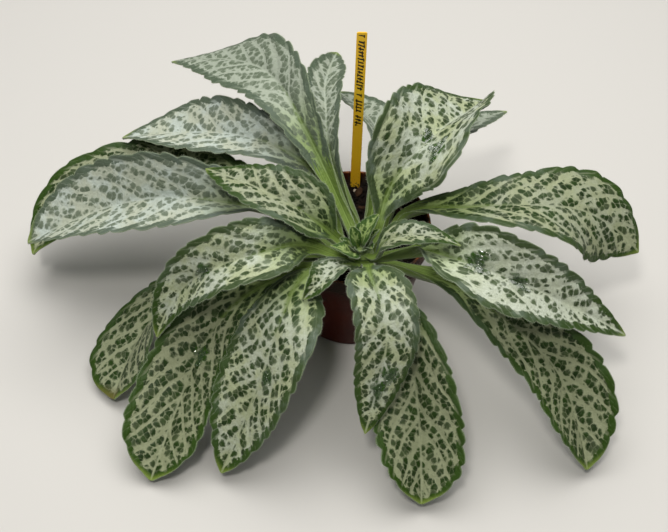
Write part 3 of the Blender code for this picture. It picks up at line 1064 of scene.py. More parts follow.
LEAVES = (
    Leaf("leaf_right_upper", 5, (8, 69),
         ((28, 14, 78), (60, 4, 90), (91, 1, 92), (125, 4, 80), (155, -1, 52)),
         53, 0.78, (-38, 0, 45), (26, 0), (6, 16), tip=1.6, tone=0.75),
    Leaf("leaf_right_long", -17, (-24, 74),
         ((39, -7, 85), (64, -17, 94), (95, -16, 86), (126, -8, 66), (146, 0, 48)),
         46, 0.44, (-44, 37, 6), (40, 18), (-12, 2), tip=1.3, tone=0.2, green=0.17,
         wet=(Spot(0.40, 0.07, 7.0), Spot(0.53, 0.0, 6.0))),
    Leaf("leaf_right_low", -39, (-38, 65),
         ((32, 4, 71), (63, 11, 69), (100, 17, 53), (124, 17, 35), (153, -1, 6)),
         48, 0.78, (-32, 24, 18), (25, 30), (3, -8), tip=1.9, tone=0.9),
    Leaf("leaf_front_low", -74, (-84, 65.5),
         ((32, 7, 71), (59, 9, 62), (77, 9, 44), (97, 6, 24), (122, -1, 6)),
         51, 0.76, (14, 26, 2), (0, 33), (22, -8), tip=3.2, tone=0.9),
    Leaf("leaf_front_upper", -88, (-72, 75),
         ((39, 6, 88), (61, 11, 88), (73, 12, 77), (84, 7, 55), (95, 1, 34)),
         34, 0.34, (16, -12, 0), (28, 0), (3, 28), tip=2.6, tone=0.6, green=0.10,
         wet=(Spot(0.70, 0.35, 5.0), Spot(0.77, 0.0, 4.0))),
    Leaf("leaf_front_small", -118, (-104, 76.5), ((30, 5, 86), (43, 4, 88), (54, -1, 81)),
         19, 0.50, (-40, 10, -20), (5, 30), (20, -10), tip=1.7, teeth=7, stalk=2.2, tone=0.6, green=0.1),
    Leaf("leaf_front_left", -124, (-118, 70),
         ((38, -6, 78), (65, -1, 74), (85, 1, 53), (102, 0, 29), (121, -1, 7)),
         50, 0.48, (0, 14, -8), (-4, 22), (38, -4), tip=2.4, tone=0.65, green=0.19,
         wet=(Spot(0.60, 0.2, 4.0),)),
    Leaf("leaf_front_left_wide", -136, (-134, 65),
         ((38, -9, 71), (66, -21, 59), (89, -23, 40), (110, -17, 22), (146, 1, 4)),
         50, 0.77, (0, -10, -12), (22, 25), (9, -8), tip=3.3, tone=0.95, wet=(Spot(0.58, 0.1, 5.0),)),
    Leaf("leaf_left_low", -158, (-167, 64.5),
         ((46, -9, 69), (78, -27, 48), (105, -28, 30), (124, -17, 17), (139, 0, 6)),
         51, 0.78, (0, 32, -2), (20, 18), (12, 5), tip=3.3, tone=0.85, age=0.8),
    Leaf("leaf_left_front", -157, (-154, 73.5),
         ((32, 2, 86), (57, 5, 92), (77, 0, 86), (94, -7, 69), (111, -1, 46)),
         38, 0.43, (-32, -24, -35), (25, 32), (4, -12), tone=0.45, green=0.19, wet=(Spot(0.62, -0.1, 4.0),)),
    Leaf("leaf_left_upper", 162, (160, 78),
         ((16, 10, 91), (29, 10, 100), (46, 9, 105), (62, 6, 106), (82, 0, 102)),
         36, 0.34, (-36, -12, 10), (42, 10), (-7, 20), tip=2.0, tone=0.75, green=0.15),
    Leaf("leaf_left_far", 173, (183, 68.5),
         ((38, -8, 80), (65, -9, 85), (100, -11, 84), (133, -10, 74), (162, -4, 61), (180, 1, 51)),
         52, 0.63, (42, -33, -6), (40, 24), (-10, -7), tip=3.2, tone=0.6, frosted_sheen=True),
    Leaf("leaf_left_far_under", 169, (150, 65),
         ((51, -23, 71), (93, -34, 67), (137, -38, 55), (170, -28, 41), (187, -2, 24)),
         56, 0.65, (0, 2, -34), (40, 13), (-12, 8), tip=2.6, tone=0.8),
    Leaf("leaf_back_left", 146, (143, 71.5),
         ((31, -18, 84), (62, -22, 91), (92, -19, 89), (126, -12, 79), (160, 0, 67)),
         43, 0.74, (-42, -26, 8), (42, 16), (-14, 3), tip=1.6, tone=0.45, frosted_sheen=True),
    Leaf("leaf_back_left_tall", 129, (108, 75),
         ((40, -9, 98), (60, -11, 112), (84, -17, 116), (107, -19, 114), (136, -15, 104), (170, -1, 88)),
         44, 0.72, (-34, -28, 6), (42, 1), (-14, 14), tip=1.4, tone=0.9, green=0.25, frosted_sheen=True),
    Leaf("leaf_back", 93, (92, 69), ((49, 8, 78), (66, 11, 86), (87, 11, 90), (114, 10, 88), (152, 1, 80)),
         25, 0.76, (-43, -9, 15), (42, 23), (-14, -6), tip=1.5, tone=0.8, frosted_sheen=True),
    Leaf("leaf_back_low", 93, (64, 65), ((51, -16, 70), (81, -21, 68), (114, -15, 62), (152, 1, 50)),
         32, 0.72, (0, 20, 6), (42, 18), (-14, 0), tip=1.5, tone=0.8, frosted_sheen=True),
    Leaf("leaf_back_right_low", 52, (30, 66), ((48, 6, 79), (79, 4, 81), (113, 4, 75), (150, 1, 62)),
         31, 0.51, (0, -22, -6), (30, 11), (2, 11), tip=1.7, tone=0.9, frosted_sheen=True),
    Leaf("leaf_back_right", 49, (52, 74),
         ((22, -2, 90), (34, -1, 100), (48, -3, 108), (73, -2, 108), (113, 0, 98)),
         62, 0.49, (48, 23, -10, -34), (23, 35, 28), (2, -8, -4), tip=2.5, tone=0.5, green=0.12,
         wet=(Spot(0.52, 0.05, 4.0), Spot(0.47, -0.4, 5.0))),
    Leaf("leaf_right_small", -28, (-36, 79), ((21, -9, 92), (31, -7, 100), (43, -3, 102), (59, 0, 99)),
         20, 0.42, (40, 5, -15), (18, 10), (10, 12), tip=1.5, teeth=7, stalk=2.2, tone=0.7, green=0.1),
)

YOUNG_LEAVES = (
    YoungLeaf("young_inner_left", 120, (120, 77.5), ((-7.8, 4.5, 84), (-4.2, 4.7, 91)),
              8, 0.50, (20, 0), (30, 20), (0, 6), stalk=1.3),
    YoungLeaf("young_inner_right", 20, (20, 77.5), ((3.2, -11.8, 84), (8.9, -10.7, 90)),
              7, 0.50, (0, -20), (30, 20), (0, 6), stalk=1.3),
    YoungLeaf("young_inner_front", -100, (-100, 77.5), ((14.3, 5.1, 82), (17.9, 5.2, 86)),
              6, 0.50, (10, 0), (30, 15), (0, 6), stalk=1.2),
    YoungLeaf("young_inner_far", 170, (170, 77.5), ((0.9, 12.3, 83), (5.8, 13.2, 88)),
              8, 0.50, (10, 20), (30, 15), (0, 6), stalk=1.2),
    YoungLeaf("young_upright", -11, (60, 76), ((5, -8, 84), (8, -5, 91), (12, 0, 96)),
              13, 0.49, (50, 30, 15), (22, 15), (5, 5), teeth=5, stalk=2.0),
    YoungLeaf("young_left", -122, (-170, 77), ((20, 7, 88), (23, 4, 91), (24, 0, 92)),
              12, 0.51, (10, -30, -20), (20, 16), (10, 4), teeth=5, stalk=1.8),
    YoungLeaf("young_right", -65, (-60, 77), ((14, 1, 82), (16, 1, 84), (18, 1, 85)),
              6, 0.50, (20, 10, 0), (30, 20), (0, 0), stalk=1.4),
)


@dataclass(frozen=True)
class StemLine:
    """The leaning stem's middle line and width, which the stalks are seated against."""

    foot: Place = (0.0, -9.0, 52.0)
    top: Place = (4.0, -31.0, 77.0)
    widths: tuple[tuple[float, float], ...] = ((52.0, 8.0), (73.0, 8.0), (77.0, 6.4), (79.5, 3.0))
    seat_gap: float = 0.65
    seat_span: tuple[float, ...] = (-0.6, 0.0, 0.6)

    def centre(self, height: float) -> Points:
        """The middle of the stem at this height."""
        foot, top = np.array(self.foot), np.array(self.top)
        return foot + (top - foot) * (height - foot[2]) / (top[2] - foot[2])

    def radius(self, height: float) -> float:
        """Half of the stem's width at this height."""
        return float(np.interp(height, *zip(*self.widths)))

    def seat(self, angle: float, height: float, sunk: float) -> Points:
        """Where a stalk starts beside the stem.

        Args:
            angle: the heading round the stem.
            height: the height.
            sunk: how far the stalk is pushed into the stem.

        Returns:
            The stalk's first point.
        """
        away, middle = heading(angle), self.centre(height)
        heights = (height + step for step in self.seat_span)
        face = max((self.centre(z) - middle) @ away + self.radius(z) for z in heights)
        return middle + away * (face + self.seat_gap - sunk)


STEM_LINE = StemLine()


@dataclass
class BladeForm:
    """The surface of one leaf: its midrib, its width, its teeth and its relief.

    Its methods take shares of the midrib's length, or x and y, the distances from the midrib and the root,
    with half at -1 on the left half of the blade and 1 on the right.
    """

    leaf: Leaf
    sunk: float = 0.0
    seed: int = 0
    crown: Place = (1.0, -20.0, 0.0)
    collar_out: float = 4.0
    collar_rise: float = 3.0
    stalk_share: float = 0.12
    stalk_end: float = 0.30
    root_width: float = 0.8
    swell_power: float = 1.25
    tip_power: float = 0.85
    tooth_depth: float = 2.1
    tooth_share: float = 0.105
    least_teeth: float = 0.7
    tooth_peak: float = 0.76
    tooth_stray: float = 0.24
    last_tooth: float = 0.985
    slope_step: float = 0.001
    vein_angle: float = math.radians(36.5)
    vein_gap: float = 8.6
    vein_bend: float = 0.007
    cluster_gap: float = 7.2
    halves_apart: float = 40.0
    green_end: float = 0.27
    drawn_end: float = 0.46
    drawn_share: float = 0.82
    full_width: float = 46.0

    def __post_init__(self) -> None:
        """Lays the midrib's route and draws what is particular to this leaf."""
        draw = random.Random(self.seed)
        self.out, self.away = heading(self.leaf.turn), heading(self.leaf.seat[0])
        self.left = np.array((-self.out[1], self.out[0], 0.0))
        self.knots = self.route()
        self.shares = walk(self.knots) / walk(self.knots)[-1]
        self.slopes = self.tangents()
        self.half = self.leaf.width / 2.0
        self.scale = 1.0 if self.leaf.frosted_sheen else math.sqrt(min(1.0, self.leaf.width / self.full_width))
        self.dense = np.linspace(0.0, 1.0, 201)
        self.walked = walk(self.rib(self.dense))
        self.length = float(self.walked[-1])
        self.phases = [draw.uniform(0.0, TURN) for _ in range(8)]
        self.bites = np.array([draw.uniform(0.55, 1.2) for _ in range(self.leaf.teeth + 1)])

    def route(self) -> Points:
        """Lays the midrib's points.

        Returns:
            A short collar square to the stem, where the stalk isn't sunk in it, then the leaf's own points.
        """
        root = STEM_LINE.seat(*self.leaf.seat, self.sunk)
        collar = [] if self.sunk else [root + self.away * self.collar_out + (0.0, 0.0, self.collar_rise)]
        crown, out, left = np.array(self.crown), self.out, self.left
        own = [crown + out * reach + left * side + (0.0, 0.0, up) for reach, side, up in self.leaf.midrib]
        return np.array([root, *collar, *own])

    def tangents(self) -> Points:
        """Finds Catmull-Rom slopes.

        Returns:
            One for each of the midrib's points.
        """
        steps = np.diff(self.knots, axis=0) / np.diff(self.shares)[:, None]
        inner = (self.knots[2:] - self.knots[:-2]) / (self.shares[2:] - self.shares[:-2])[:, None]
        return np.vstack((2.0 * steps[0] - inner[0], inner, 2.0 * steps[-1] - inner[-1]))

    def rib(self, shares: Points) -> Points:
        """Points of the midrib.

        Args:
            shares: shares of its length.

        Returns:
            One point for each share.
        """
        i = np.searchsorted(self.shares[1:-1], shares, side="left")
        span = (self.shares[i + 1] - self.shares[i])[:, None]
        u = (shares - self.shares[i])[:, None] / span
        here = self.knots[i] * ((1 + 2 * u) * (1 - u) ** 2) + self.slopes[i] * (span * u * (1 - u) ** 2)
        there = self.knots[i + 1] * (u * u * (3 - 2 * u)) + self.slopes[i + 1] * (span * u * u * (u - 1))
        return here + there

    def frame(self, shares: Points) -> tuple[Points, Points]:
        """The directions across the blade and out of its upper face.

        Args:
            shares: shares of the midrib's length.

        Returns:
            Across and up, one of each for each share.
        """
        ahead = self.rib(np.minimum(1.0, shares + self.slope_step))
        along = unit(ahead - self.rib(np.maximum(0.0, shares - self.slope_step)))
        across = unit(self.left - along * (along @ self.left)[:, None])
        up = np.cross(along, across)
        roll = (np.radians(between(self.leaf.roll, shares)) * self.settled(shares))[:, None]
        return across * np.cos(roll) + up * np.sin(roll), up * np.cos(roll) - across * np.sin(roll)

    def settled(self, shares: Points) -> Points:
        """How far the stalk has turned, from 0 to 1, from its level root into its own roll and fold."""
        return np.clip(shares / self.stalk_share, 0.0, 1.0)

    def reach(self, shares: Points) -> Points:
        """Half of the blade's width, teeth left out.

        Args:
            shares: shares of the midrib's length.

        Returns:
            One width for each share.
        """
        stalk, widest, start = self.leaf.stalk, self.leaf.widest, self.stalk_share
        root = stalk * (self.root_width + (1.0 - self.root_width) * self.settled(shares))
        rise = np.clip((shares - start) / (widest - start), 0.0, 1.0)
        swell = stalk + (self.half - stalk) * np.sin(math.pi / 2 * rise) ** self.swell_power
        fall = np.clip((shares - widest) / (1.0 - widest), 0.0, 1.0)
        end = self.half * (1.0 - fall**self.leaf.tip) ** self.tip_power
        return np.where(shares < start, root, np.where(shares < widest, swell, end))

    def notch(self, shares: Points) -> Points:
        """How far the margin is cut in between rounded teeth that lean to the tip.

        Args:
            shares: shares of the midrib's length.

        Returns:
            One depth for each share.
        """
        count, peak = self.leaf.teeth, self.tooth_peak
        place = (shares - self.stalk_end) / (self.last_tooth - self.stalk_end) * count
        stray = np.sin(2.1 * place + self.phases[7]) * np.sin(math.pi * place / count)
        place = place + self.tooth_stray * stray
        tooth = np.clip(place.astype(int), 0, count)
        part = np.clip(place - tooth, 0.0, 1.0)
        rising = 1.0 - np.sin(math.pi / 2 * np.clip(part / peak, 0.0, 1.0)) ** 0.75
        falling = np.clip((part - peak) / (1.0 - peak), 0.0, 1.0) ** 1.4
        size = min(max(self.leaf.width / self.full_width, self.least_teeth), 1.0)
        deepest = np.minimum(self.tooth_depth * size**2, self.tooth_share * self.reach(shares))
        cut = np.where(part < peak, rising, falling) * deepest * self.bites[tooth]
        return np.where(shares < self.stalk_end, 0.0, cut)

    def along(self, shares: Points) -> Points:
        """How far the midrib has run from the root."""
        return np.interp(shares, self.dense, self.walked)

    def drawn(self, y: Points) -> Points:
        """A distance from the root as the marking counts it, which is drawn out near the root."""
        start = self.drawn_end * self.length
        return np.where(y < start, start + (y - start) * self.drawn_share, y) / self.scale

    def vein_count(self, x: Points, y: Points, half: int) -> Points:
        """Counts the lateral veins up to a place.

        Args:
            x: the distance from the midrib.
            y: the distance from the root.
            half: the half of the blade.

        Returns:
            The count, whole on each vein.
        """
        a, b, c = self.phases[:3] if half < 0 else self.phases[3:6]
        x, y = x / self.scale, self.drawn(y)
        straight = y * math.sin(self.vein_angle) - x * math.cos(self.vein_angle) - self.vein_bend * x * x
        waves = 0.10 * np.sin(0.11 * y + b + 0.15 * x) + 0.06 * np.sin(0.29 * y - 0.22 * x + c)
        return straight / self.vein_gap + a + waves

    def cluster_count(self, x: Points, y: Points, half: int) -> Points:
        """The count of the clusters of dots up to a place, along the lateral veins."""
        place = x / self.scale * math.sin(self.vein_angle) + self.drawn(y) * math.cos(self.vein_angle)
        return place / self.cluster_gap + self.halves_apart * half

    def relief(self, x: Points, y: Points, half: int, edge: Points) -> Points:
        """How far the upper face stands out of its smooth form.

        Args:
            x: the distance from the midrib.
            y: the distance from the root.
            half: the half of the blade.
            edge: the distance from the leaf's edge.

        Returns:
            Millimetres.
        """
        part = self.vein_count(x, y, half) % 1.0
        gap = np.minimum(part, 1.0 - part) * self.vein_gap * self.scale
        blade = smooth(edge, 0.0, 3.0) * smooth(x, 1.0, 5.0)
        quilt = (0.30 * np.sin(math.pi * part) - 0.34 * np.exp(-((gap / 0.8) ** 2))) * blade
        groove = -0.55 * np.exp(-((x / 1.2) ** 2)) * smooth(y / self.length, 0.05, 0.2)
        return quilt + groove * smooth(1.0 - y / self.length, 0.0, 0.08)


@dataclass
class Weave:
    """A mesh that grows from arrays: its points, its faces with their materials, and its UV maps."""

    points: list[Points] = field(default_factory=list)
    faces: list[Points] = field(default_factory=list)
    kinds: list[Points] = field(default_factory=list)
    maps: dict[Layer, list[Points]] = field(default_factory=lambda: {layer: [] for layer in Layer})
    count: int = 0

    def add(self, points: Points, faces: Points, kind: Points | int, maps: dict | None = None) -> None:
        """Adds a stretch of mesh.

        Args:
            points: its points.
            faces: its faces, counted from its own first point; a triangle ends in -1.
            kind: the material slot, one for all or one for each face.
            maps: by UV map, a place for each corner of each face.
        """
        self.points.append(points)
        self.faces.append(np.where(faces < 0, -1, faces + self.count))
        self.kinds.append(np.broadcast_to(kind, len(faces)))
        for layer, parts in self.maps.items():
            parts.append(np.zeros((*faces.shape, 2)) if maps is None else maps[layer])
        self.count += len(points)

    def mesh(self, name: str) -> bpy.types.Mesh:
        """The finished mesh, in metres and shaded smooth.

        Args:
            name: the mesh's name.

        Returns:
            The mesh.
        """
        points, faces = np.concatenate(self.points) * MM, np.concatenate(self.faces)
        used, sizes = faces.ravel() >= 0, (faces >= 0).sum(axis=1)
        mesh = bpy.data.meshes.new(name)
        mesh.vertices.add(len(points))
        mesh.vertices.foreach_set("co", points.astype(np.float32).ravel())
        mesh.loops.add(int(used.sum()))
        mesh.loops.foreach_set("vertex_index", faces.ravel()[used].astype(np.int32))
        mesh.polygons.add(len(sizes))
        mesh.polygons.foreach_set("loop_start", (np.cumsum(sizes) - sizes).astype(np.int32))
        mesh.polygons.foreach_set("material_index", np.concatenate(self.kinds).astype(np.int32))
        for layer, parts in self.maps.items():
            places = np.concatenate(parts).reshape(-1, 2)[used]
            mesh.uv_layers.new(name=layer).data.foreach_set("uv", places.astype(np.float32).ravel())
        mesh.update(calc_edges=True)
        mesh.shade_smooth()
        mesh.validate()
        return mesh


@dataclass
class LeafPiece:
    """One leaf as a closed, finely divided body, with its hairs, its drops of water and its UV maps."""

    form: BladeForm
    box: tuple[Points, Points]
    weave: Weave
    columns: int = 33
    stalk_rows: int = 26
    tooth_rows: int = 12
    tip_rows: tuple[float, ...] = (0.7, 0.45, 0.25, 0.1)
    rooted: tuple[float, ...] = (3.0, 1.5)
    crowding: float = 0.28
    lamina: float = 0.95
    margin_thick: float = 0.42
    rib_drop: float = 1.7
    stalk_thick: float = 3.1
    rim_round: float = 0.16
    wave: float = 0.35
    wave_length: float = 13.0
    least_curl: float = 1e-4
    seed_steps: tuple[float, float] = (3.0, 7.0)
    hair_sunk: float = 0.1
    hair_step: float = 0.34
    hair_length: tuple[float, float] = (0.5, 1.15)
    hair_lift: tuple[float, float] = (-0.5, 0.6)
    hair_stray: float = 0.35
    hair_radius: float = 0.038
    drop_seed: int = 100
    drop_count: int = 26
    drop_spread: float = 0.42
    drop_lean: Place = (-0.12, -0.65, 1.2)
    drop_stray: float = 0.12
    drop_size: tuple[float, float] = (0.75, 1.35)
    drop_long: tuple[float, float] = (0.6, 2.4)
    drop_height: float = 0.13
    drop_lift: float = 0.1

    def build(self) -> None:
        """Weaves the blade, its hairs and its drops."""
        for step in (self.lay, self.blade, self.hairs, self.drops):
            step()

    def rows(self) -> Points:
        """The shares of the midrib's length that get a row of points.

        Returns:
            The shares, closer together near the tip.
        """
        start, last = self.form.stalk_end, self.form.last_tooth
        stalk = np.linspace(0.0, start, self.stalk_rows, endpoint=False)
        blade = np.linspace(start, last, self.form.leaf.teeth * self.tooth_rows + 1)
        end = 1.0 - (1.0 - last) * np.array(self.tip_rows)
        return np.concatenate((np.zeros(len(self.rooted)), stalk, blade, end))

    def lay(self) -> None:
        """Lays the rows of points round the blade, with what is known of each of them."""
        form, even = self.form, np.linspace(-1.0, 1.0, self.columns)
        shares, sides = self.rows(), (1.0 - self.crowding) * even + self.crowding * np.sin(math.pi / 2 * even)
        rib, (across, up) = form.rib(shares), form.frame(shares)
        rib[: len(self.rooted)] -= form.away * np.array(self.rooted)[:, None]
        reach, out, half = form.reach(shares), np.abs(sides), np.where(sides < 0, -1, 1)
        spread = reach[:, None] - form.notch(shares)[:, None] * smooth(out, 0.55, 1.0)
        fold = (np.radians(between(form.leaf.fold, shares)) * form.settled(shares))[:, None]
        curl = np.radians(between(form.leaf.curl, shares))[:, None]
        curl = np.where(np.abs(curl) < self.least_curl, self.least_curl, curl)
        bent = fold - curl * out
        flat = spread / curl * (np.sin(fold) - np.sin(bent)) * np.sign(sides)
        lift = spread / curl * (np.cos(bent) - np.cos(fold))
        plain = rib[:, None] + across[:, None] * flat[..., None] + up[:, None] * lift[..., None]
        x, y = out * spread, np.repeat(form.along(shares)[:, None], len(sides), axis=1)
        slant = np.gradient(reach, form.along(shares) + np.arange(len(shares)) * 1e-6)[:, None]
        edge = (1.0 - out) * spread / np.sqrt(1.0 + slant**2)
        relief = np.where(half < 0, form.relief(x, y, -1, edge), form.relief(x, y, 1, edge))
        relief *= 0.35 + 0.65 * smooth(reach, 4.0, 12.0)[:, None]
        ripple = np.sin(y * TURN / self.wave_length + form.phases[6] + half) * self.wave
        ripple *= smooth(x / form.half, 0.55, 1.0) * smooth(y / form.length, 0.3, 0.45)
        ripple *= smooth(1.0 - y / form.length, 0.0, 0.12)
        normal = self.normals(plain, up)
        top = plain + normal * (relief + ripple)[..., None]
        bottom = top - normal * self.thickness(shares, out, x, reach)[..., None]
        outward = unit(top[:, [0, -1]] - top[:, [1, -2]])
        ends = (top[:, [0, -1]] + bottom[:, [0, -1]]) / 2.0 + outward * self.rim_round
        loops = np.concatenate((top, ends[:, 1:2], bottom[:, ::-1], ends[:, 0:1]), axis=1)
        tip = form.rib(np.array((1.0,)))[0] - up[-1] * self.margin_thick / 2.0
        order = np.concatenate((np.arange(len(sides)), (-1,), np.arange(len(sides))[::-1], (0,)))
        self.loops, self.tip = np.clip(loops, *self.box), np.clip(tip, *self.box)
        self.x, self.y, self.edge = x[:, order], y[:, order], edge[:, order]
        self.side, self.share, self.outward, self.up = sides[order], shares, outward, up

    def normals(self, top: Points, up: Points) -> Points:
        """The directions out of the upper face.

        Args:
            top: the face's points, by row and column.
            up: the blade's own direction at each row, used where rows lie on each other.

        Returns:
            One direction for each point.
        """
        found, up = np.cross(np.gradient(top, axis=0), np.gradient(top, axis=1)), up[:, None, :]
        size = np.linalg.norm(found, axis=-1, keepdims=True)
        found = np.where(size > 1e-9, found / np.maximum(size, 1e-12), up)
        return found * np.where(np.sum(found * up, axis=-1, keepdims=True) < 0.0, -1.0, 1.0)

    def thickness(self, shares: Points, out: Points, x: Points, reach: Points) -> Points:
        """How thick the leaf is: a round stalk that passes into a thin blade with a ridge under the midrib.

        Args:
            shares: the rows' shares of the length.
            out: the columns' places, from 0 at the midrib to 1 at the edge.
            x: the distance from the midrib.
            reach: half of the width of each row.

        Returns:
            Millimetres, by row and column.
        """
        scale = self.form.leaf.stalk / STALK
        thin = self.margin_thick + (self.lamina - self.margin_thick) * np.sqrt(1.0 - out**3)
        drop = self.rib_drop * (1.0 - 0.8 * smooth(shares, 0.25, 1.0))[:, None]
        blade = thin * (0.6 + 0.4 * scale) + drop * np.exp(-((x / 1.9) ** 2)) * scale
        stalk = self.margin_thick + self.stalk_thick * scale * np.sqrt(1.0 - out**2)
        share = np.where(shares > self.form.leaf.widest, 0.0, 1.0 - smooth(reach, 3.4, 9.0))[:, None]
        return stalk * share + blade * (1.0 - share)

    def blade(self) -> None:
        """Adds the closed blade, whose loops run over the upper face and back under it."""
        rows, around = self.loops.shape[:2]
        faces = tube_faces(rows, around)
        at = np.where((faces < 0) | (faces >= rows * around), faces[:, :1], faces)
        columns = at % around
        under = ((columns > self.columns) & (columns < around - 1)).all(axis=1)
        points = np.vstack((self.loops.reshape(-1, 3), self.loops[0].mean(axis=0), self.tip))
        kind = np.where(under, Face.UNDER, Face.UPPER)
        self.weave.add(points, faces, kind, self.places(at // around, columns))

    def places(self, rows: Points, columns: Points) -> dict[Layer, Points]:
        """The UV maps of some faces.

        Args:
            rows: the row of each corner.
            columns: the place in the row of each corner.

        Returns:
            By map, a place for each corner.
        """
        form, leaf, share, side = self.form, self.form.leaf, self.share[rows], self.side[columns]
        x, y, edge = (held[rows, columns] for held in (self.x, self.y, self.edge))
        left = side.mean(axis=1, keepdims=True) < 0.0
        counts = (np.where(left, f(x, y, -1), f(x, y, 1)) for f in (form.vein_count, form.cluster_count))
        wet = np.zeros_like(x)
        for spot in leaf.wet:
            across, along = spot.side * form.reach(spot.share), form.along(spot.share)
            away = np.hypot(np.sign(side) * x - across, y - along)
            wet = np.maximum(wet, np.exp(-((away / spot.radius) ** 2)))
        grown = np.interp(share, (0.0, leaf.green, 1.0), (0.0, form.green_end, 1.0))
        pairs = {
            Layer.VEINS: [count + form.seed * step for count, step in zip(counts, self.seed_steps)],
            Layer.MARGIN: [edge / CENTIMETRE / form.scale, x / CENTIMETRE / form.scale],
            Layer.GROWTH: [grown, np.full_like(share, leaf.tone)],
            Layer.WATER: [wet, leaf.age * smooth(share, 0.95, 1.0) * (side < 0.3)],
        }
        return {layer: np.stack(pair, axis=-1) for layer, pair in pairs.items()}

    def hairs(self) -> None:
        """Adds short pointed hairs along both margins."""
        draw, start, found = np.random.default_rng(self.form.seed), len(self.rooted) + 2, []
        for place, which in ((self.columns, 1), (-1, 0)):
            lines = self.loops[start:, place], self.outward[start:, which], self.up[start:]
            run = walk(lines[0])
            count = int(run[-1] / self.hair_step)
            at = (np.arange(count) + draw.uniform(0.0, 1.0, count)) * run[-1] / count
            root, out, up = (np.stack([np.interp(at, run, v) for v in line.T], axis=1) for line in lines)
            stray = draw.normal(0.0, self.hair_stray, (count, 3))
            found.append((root, unit(out + up * draw.uniform(*self.hair_lift, (count, 1)) + stray)))
        root, aim = (np.concatenate(parts) for parts in zip(*found))
        end = root + aim * draw.uniform(*self.hair_length, (len(root), 1))
        inside = np.all((end > self.box[0]) & (end < self.box[1]), axis=1)
        self.spikes(root[inside], aim[inside], end[inside])

    def spikes(self, root: Points, aim: Points, end: Points) -> None:
        """Adds thin three-sided spikes.

        Args:
            root: where each starts.
            aim: where each points.
            end: where each ends.
        """
        a = unit(np.cross(aim, np.where(np.abs(aim[:, 2:3]) < 0.9, (0.0, 0.0, 1.0), (1.0, 0.0, 0.0))))
        b, angles = np.cross(aim, a), (0.0, TURN / 3, 2 * TURN / 3)
        start, radius = root - aim * self.hair_sunk, self.hair_radius
        foot = [start + (a * math.cos(angle) + b * math.sin(angle)) * radius for angle in angles]
        points = np.stack((*foot, end), axis=1).reshape(-1, 3)
        one = np.array(((0, 1, 3, -1), (1, 2, 3, -1), (2, 0, 3, -1), (0, 2, 1, -1)))
        faces = np.where(one < 0, -1, one + np.arange(len(root))[:, None, None] * 4).reshape(-1, 4)
        self.weave.add(np.clip(points, *self.box), faces, Face.FELT)

    def drops(self) -> None:
        """Adds flat drops of water on the wet places, whose tops lean a little to the front."""
        form, draw = self.form, np.random.default_rng(self.form.seed + self.drop_seed)
        shape, faces = pebble()
        for spot in (spot for spot in form.leaf.wet for _ in range(self.drop_count)):
            share = spot.share + draw.normal(0.0, self.drop_spread) * spot.radius / form.length
            side = spot.side + draw.normal(0.0, self.drop_spread) * spot.radius / form.half
            row = int(np.argmin(np.abs(self.share - share)))
            column = int(np.clip(np.argmin(np.abs(self.side[: self.columns] - side)), 2, self.columns - 3))
            ahead = self.loops[row + 1, column] - self.loops[row - 1, column]
            up = unit(np.cross(ahead, self.loops[row, column + 1] - self.loops[row, column - 1]))
            up = up * np.sign(up @ self.up[row])
            up = unit(up + self.drop_lean + draw.normal(0.0, self.drop_stray, 3))
            ahead = unit(ahead - up * (up @ ahead))
            size = draw.uniform(*self.drop_size) ** 2
            long = draw.uniform(*self.drop_long)
            axes = np.stack((ahead * long, np.cross(up, ahead), up * self.drop_height)) * size
            points = self.loops[row, column] + up * size * self.drop_lift + shape @ axes
            self.weave.add(np.clip(points, *self.box), faces, Face.DROPS)


@dataclass
class Rosette:
    """The grown leaves, each a piece of its own."""

    box: tuple[Points, Points]
    leaves: tuple[Leaf, ...] = LEAVES

    def dress(self) -> Materials:
        """The leaves' materials, in the order of their slots, with the frosted upper face, partly painted
        sheen and shade, last.
        """
        return tuple(finish.make() for finish in (LeafUpper(), LeafUnder(), Felt(), Water(), FROSTED_SHEEN_UPPER))

    def build(self, materials: Materials) -> None:
        """Makes every leaf.

        Args:
            materials: what dress gives.
        """
        for number, leaf in enumerate(self.leaves, 1):
            weave, name = Weave(), leaf.name + "_skin"
            LeafPiece(BladeForm(leaf, seed=number), self.box, weave).build()
            upper = materials[-1 if leaf.frosted_sheen else 0]
            settle(show(name, weave.mesh(name), (upper, *materials[1:-1])), Slot.LEAF, leaf.name)


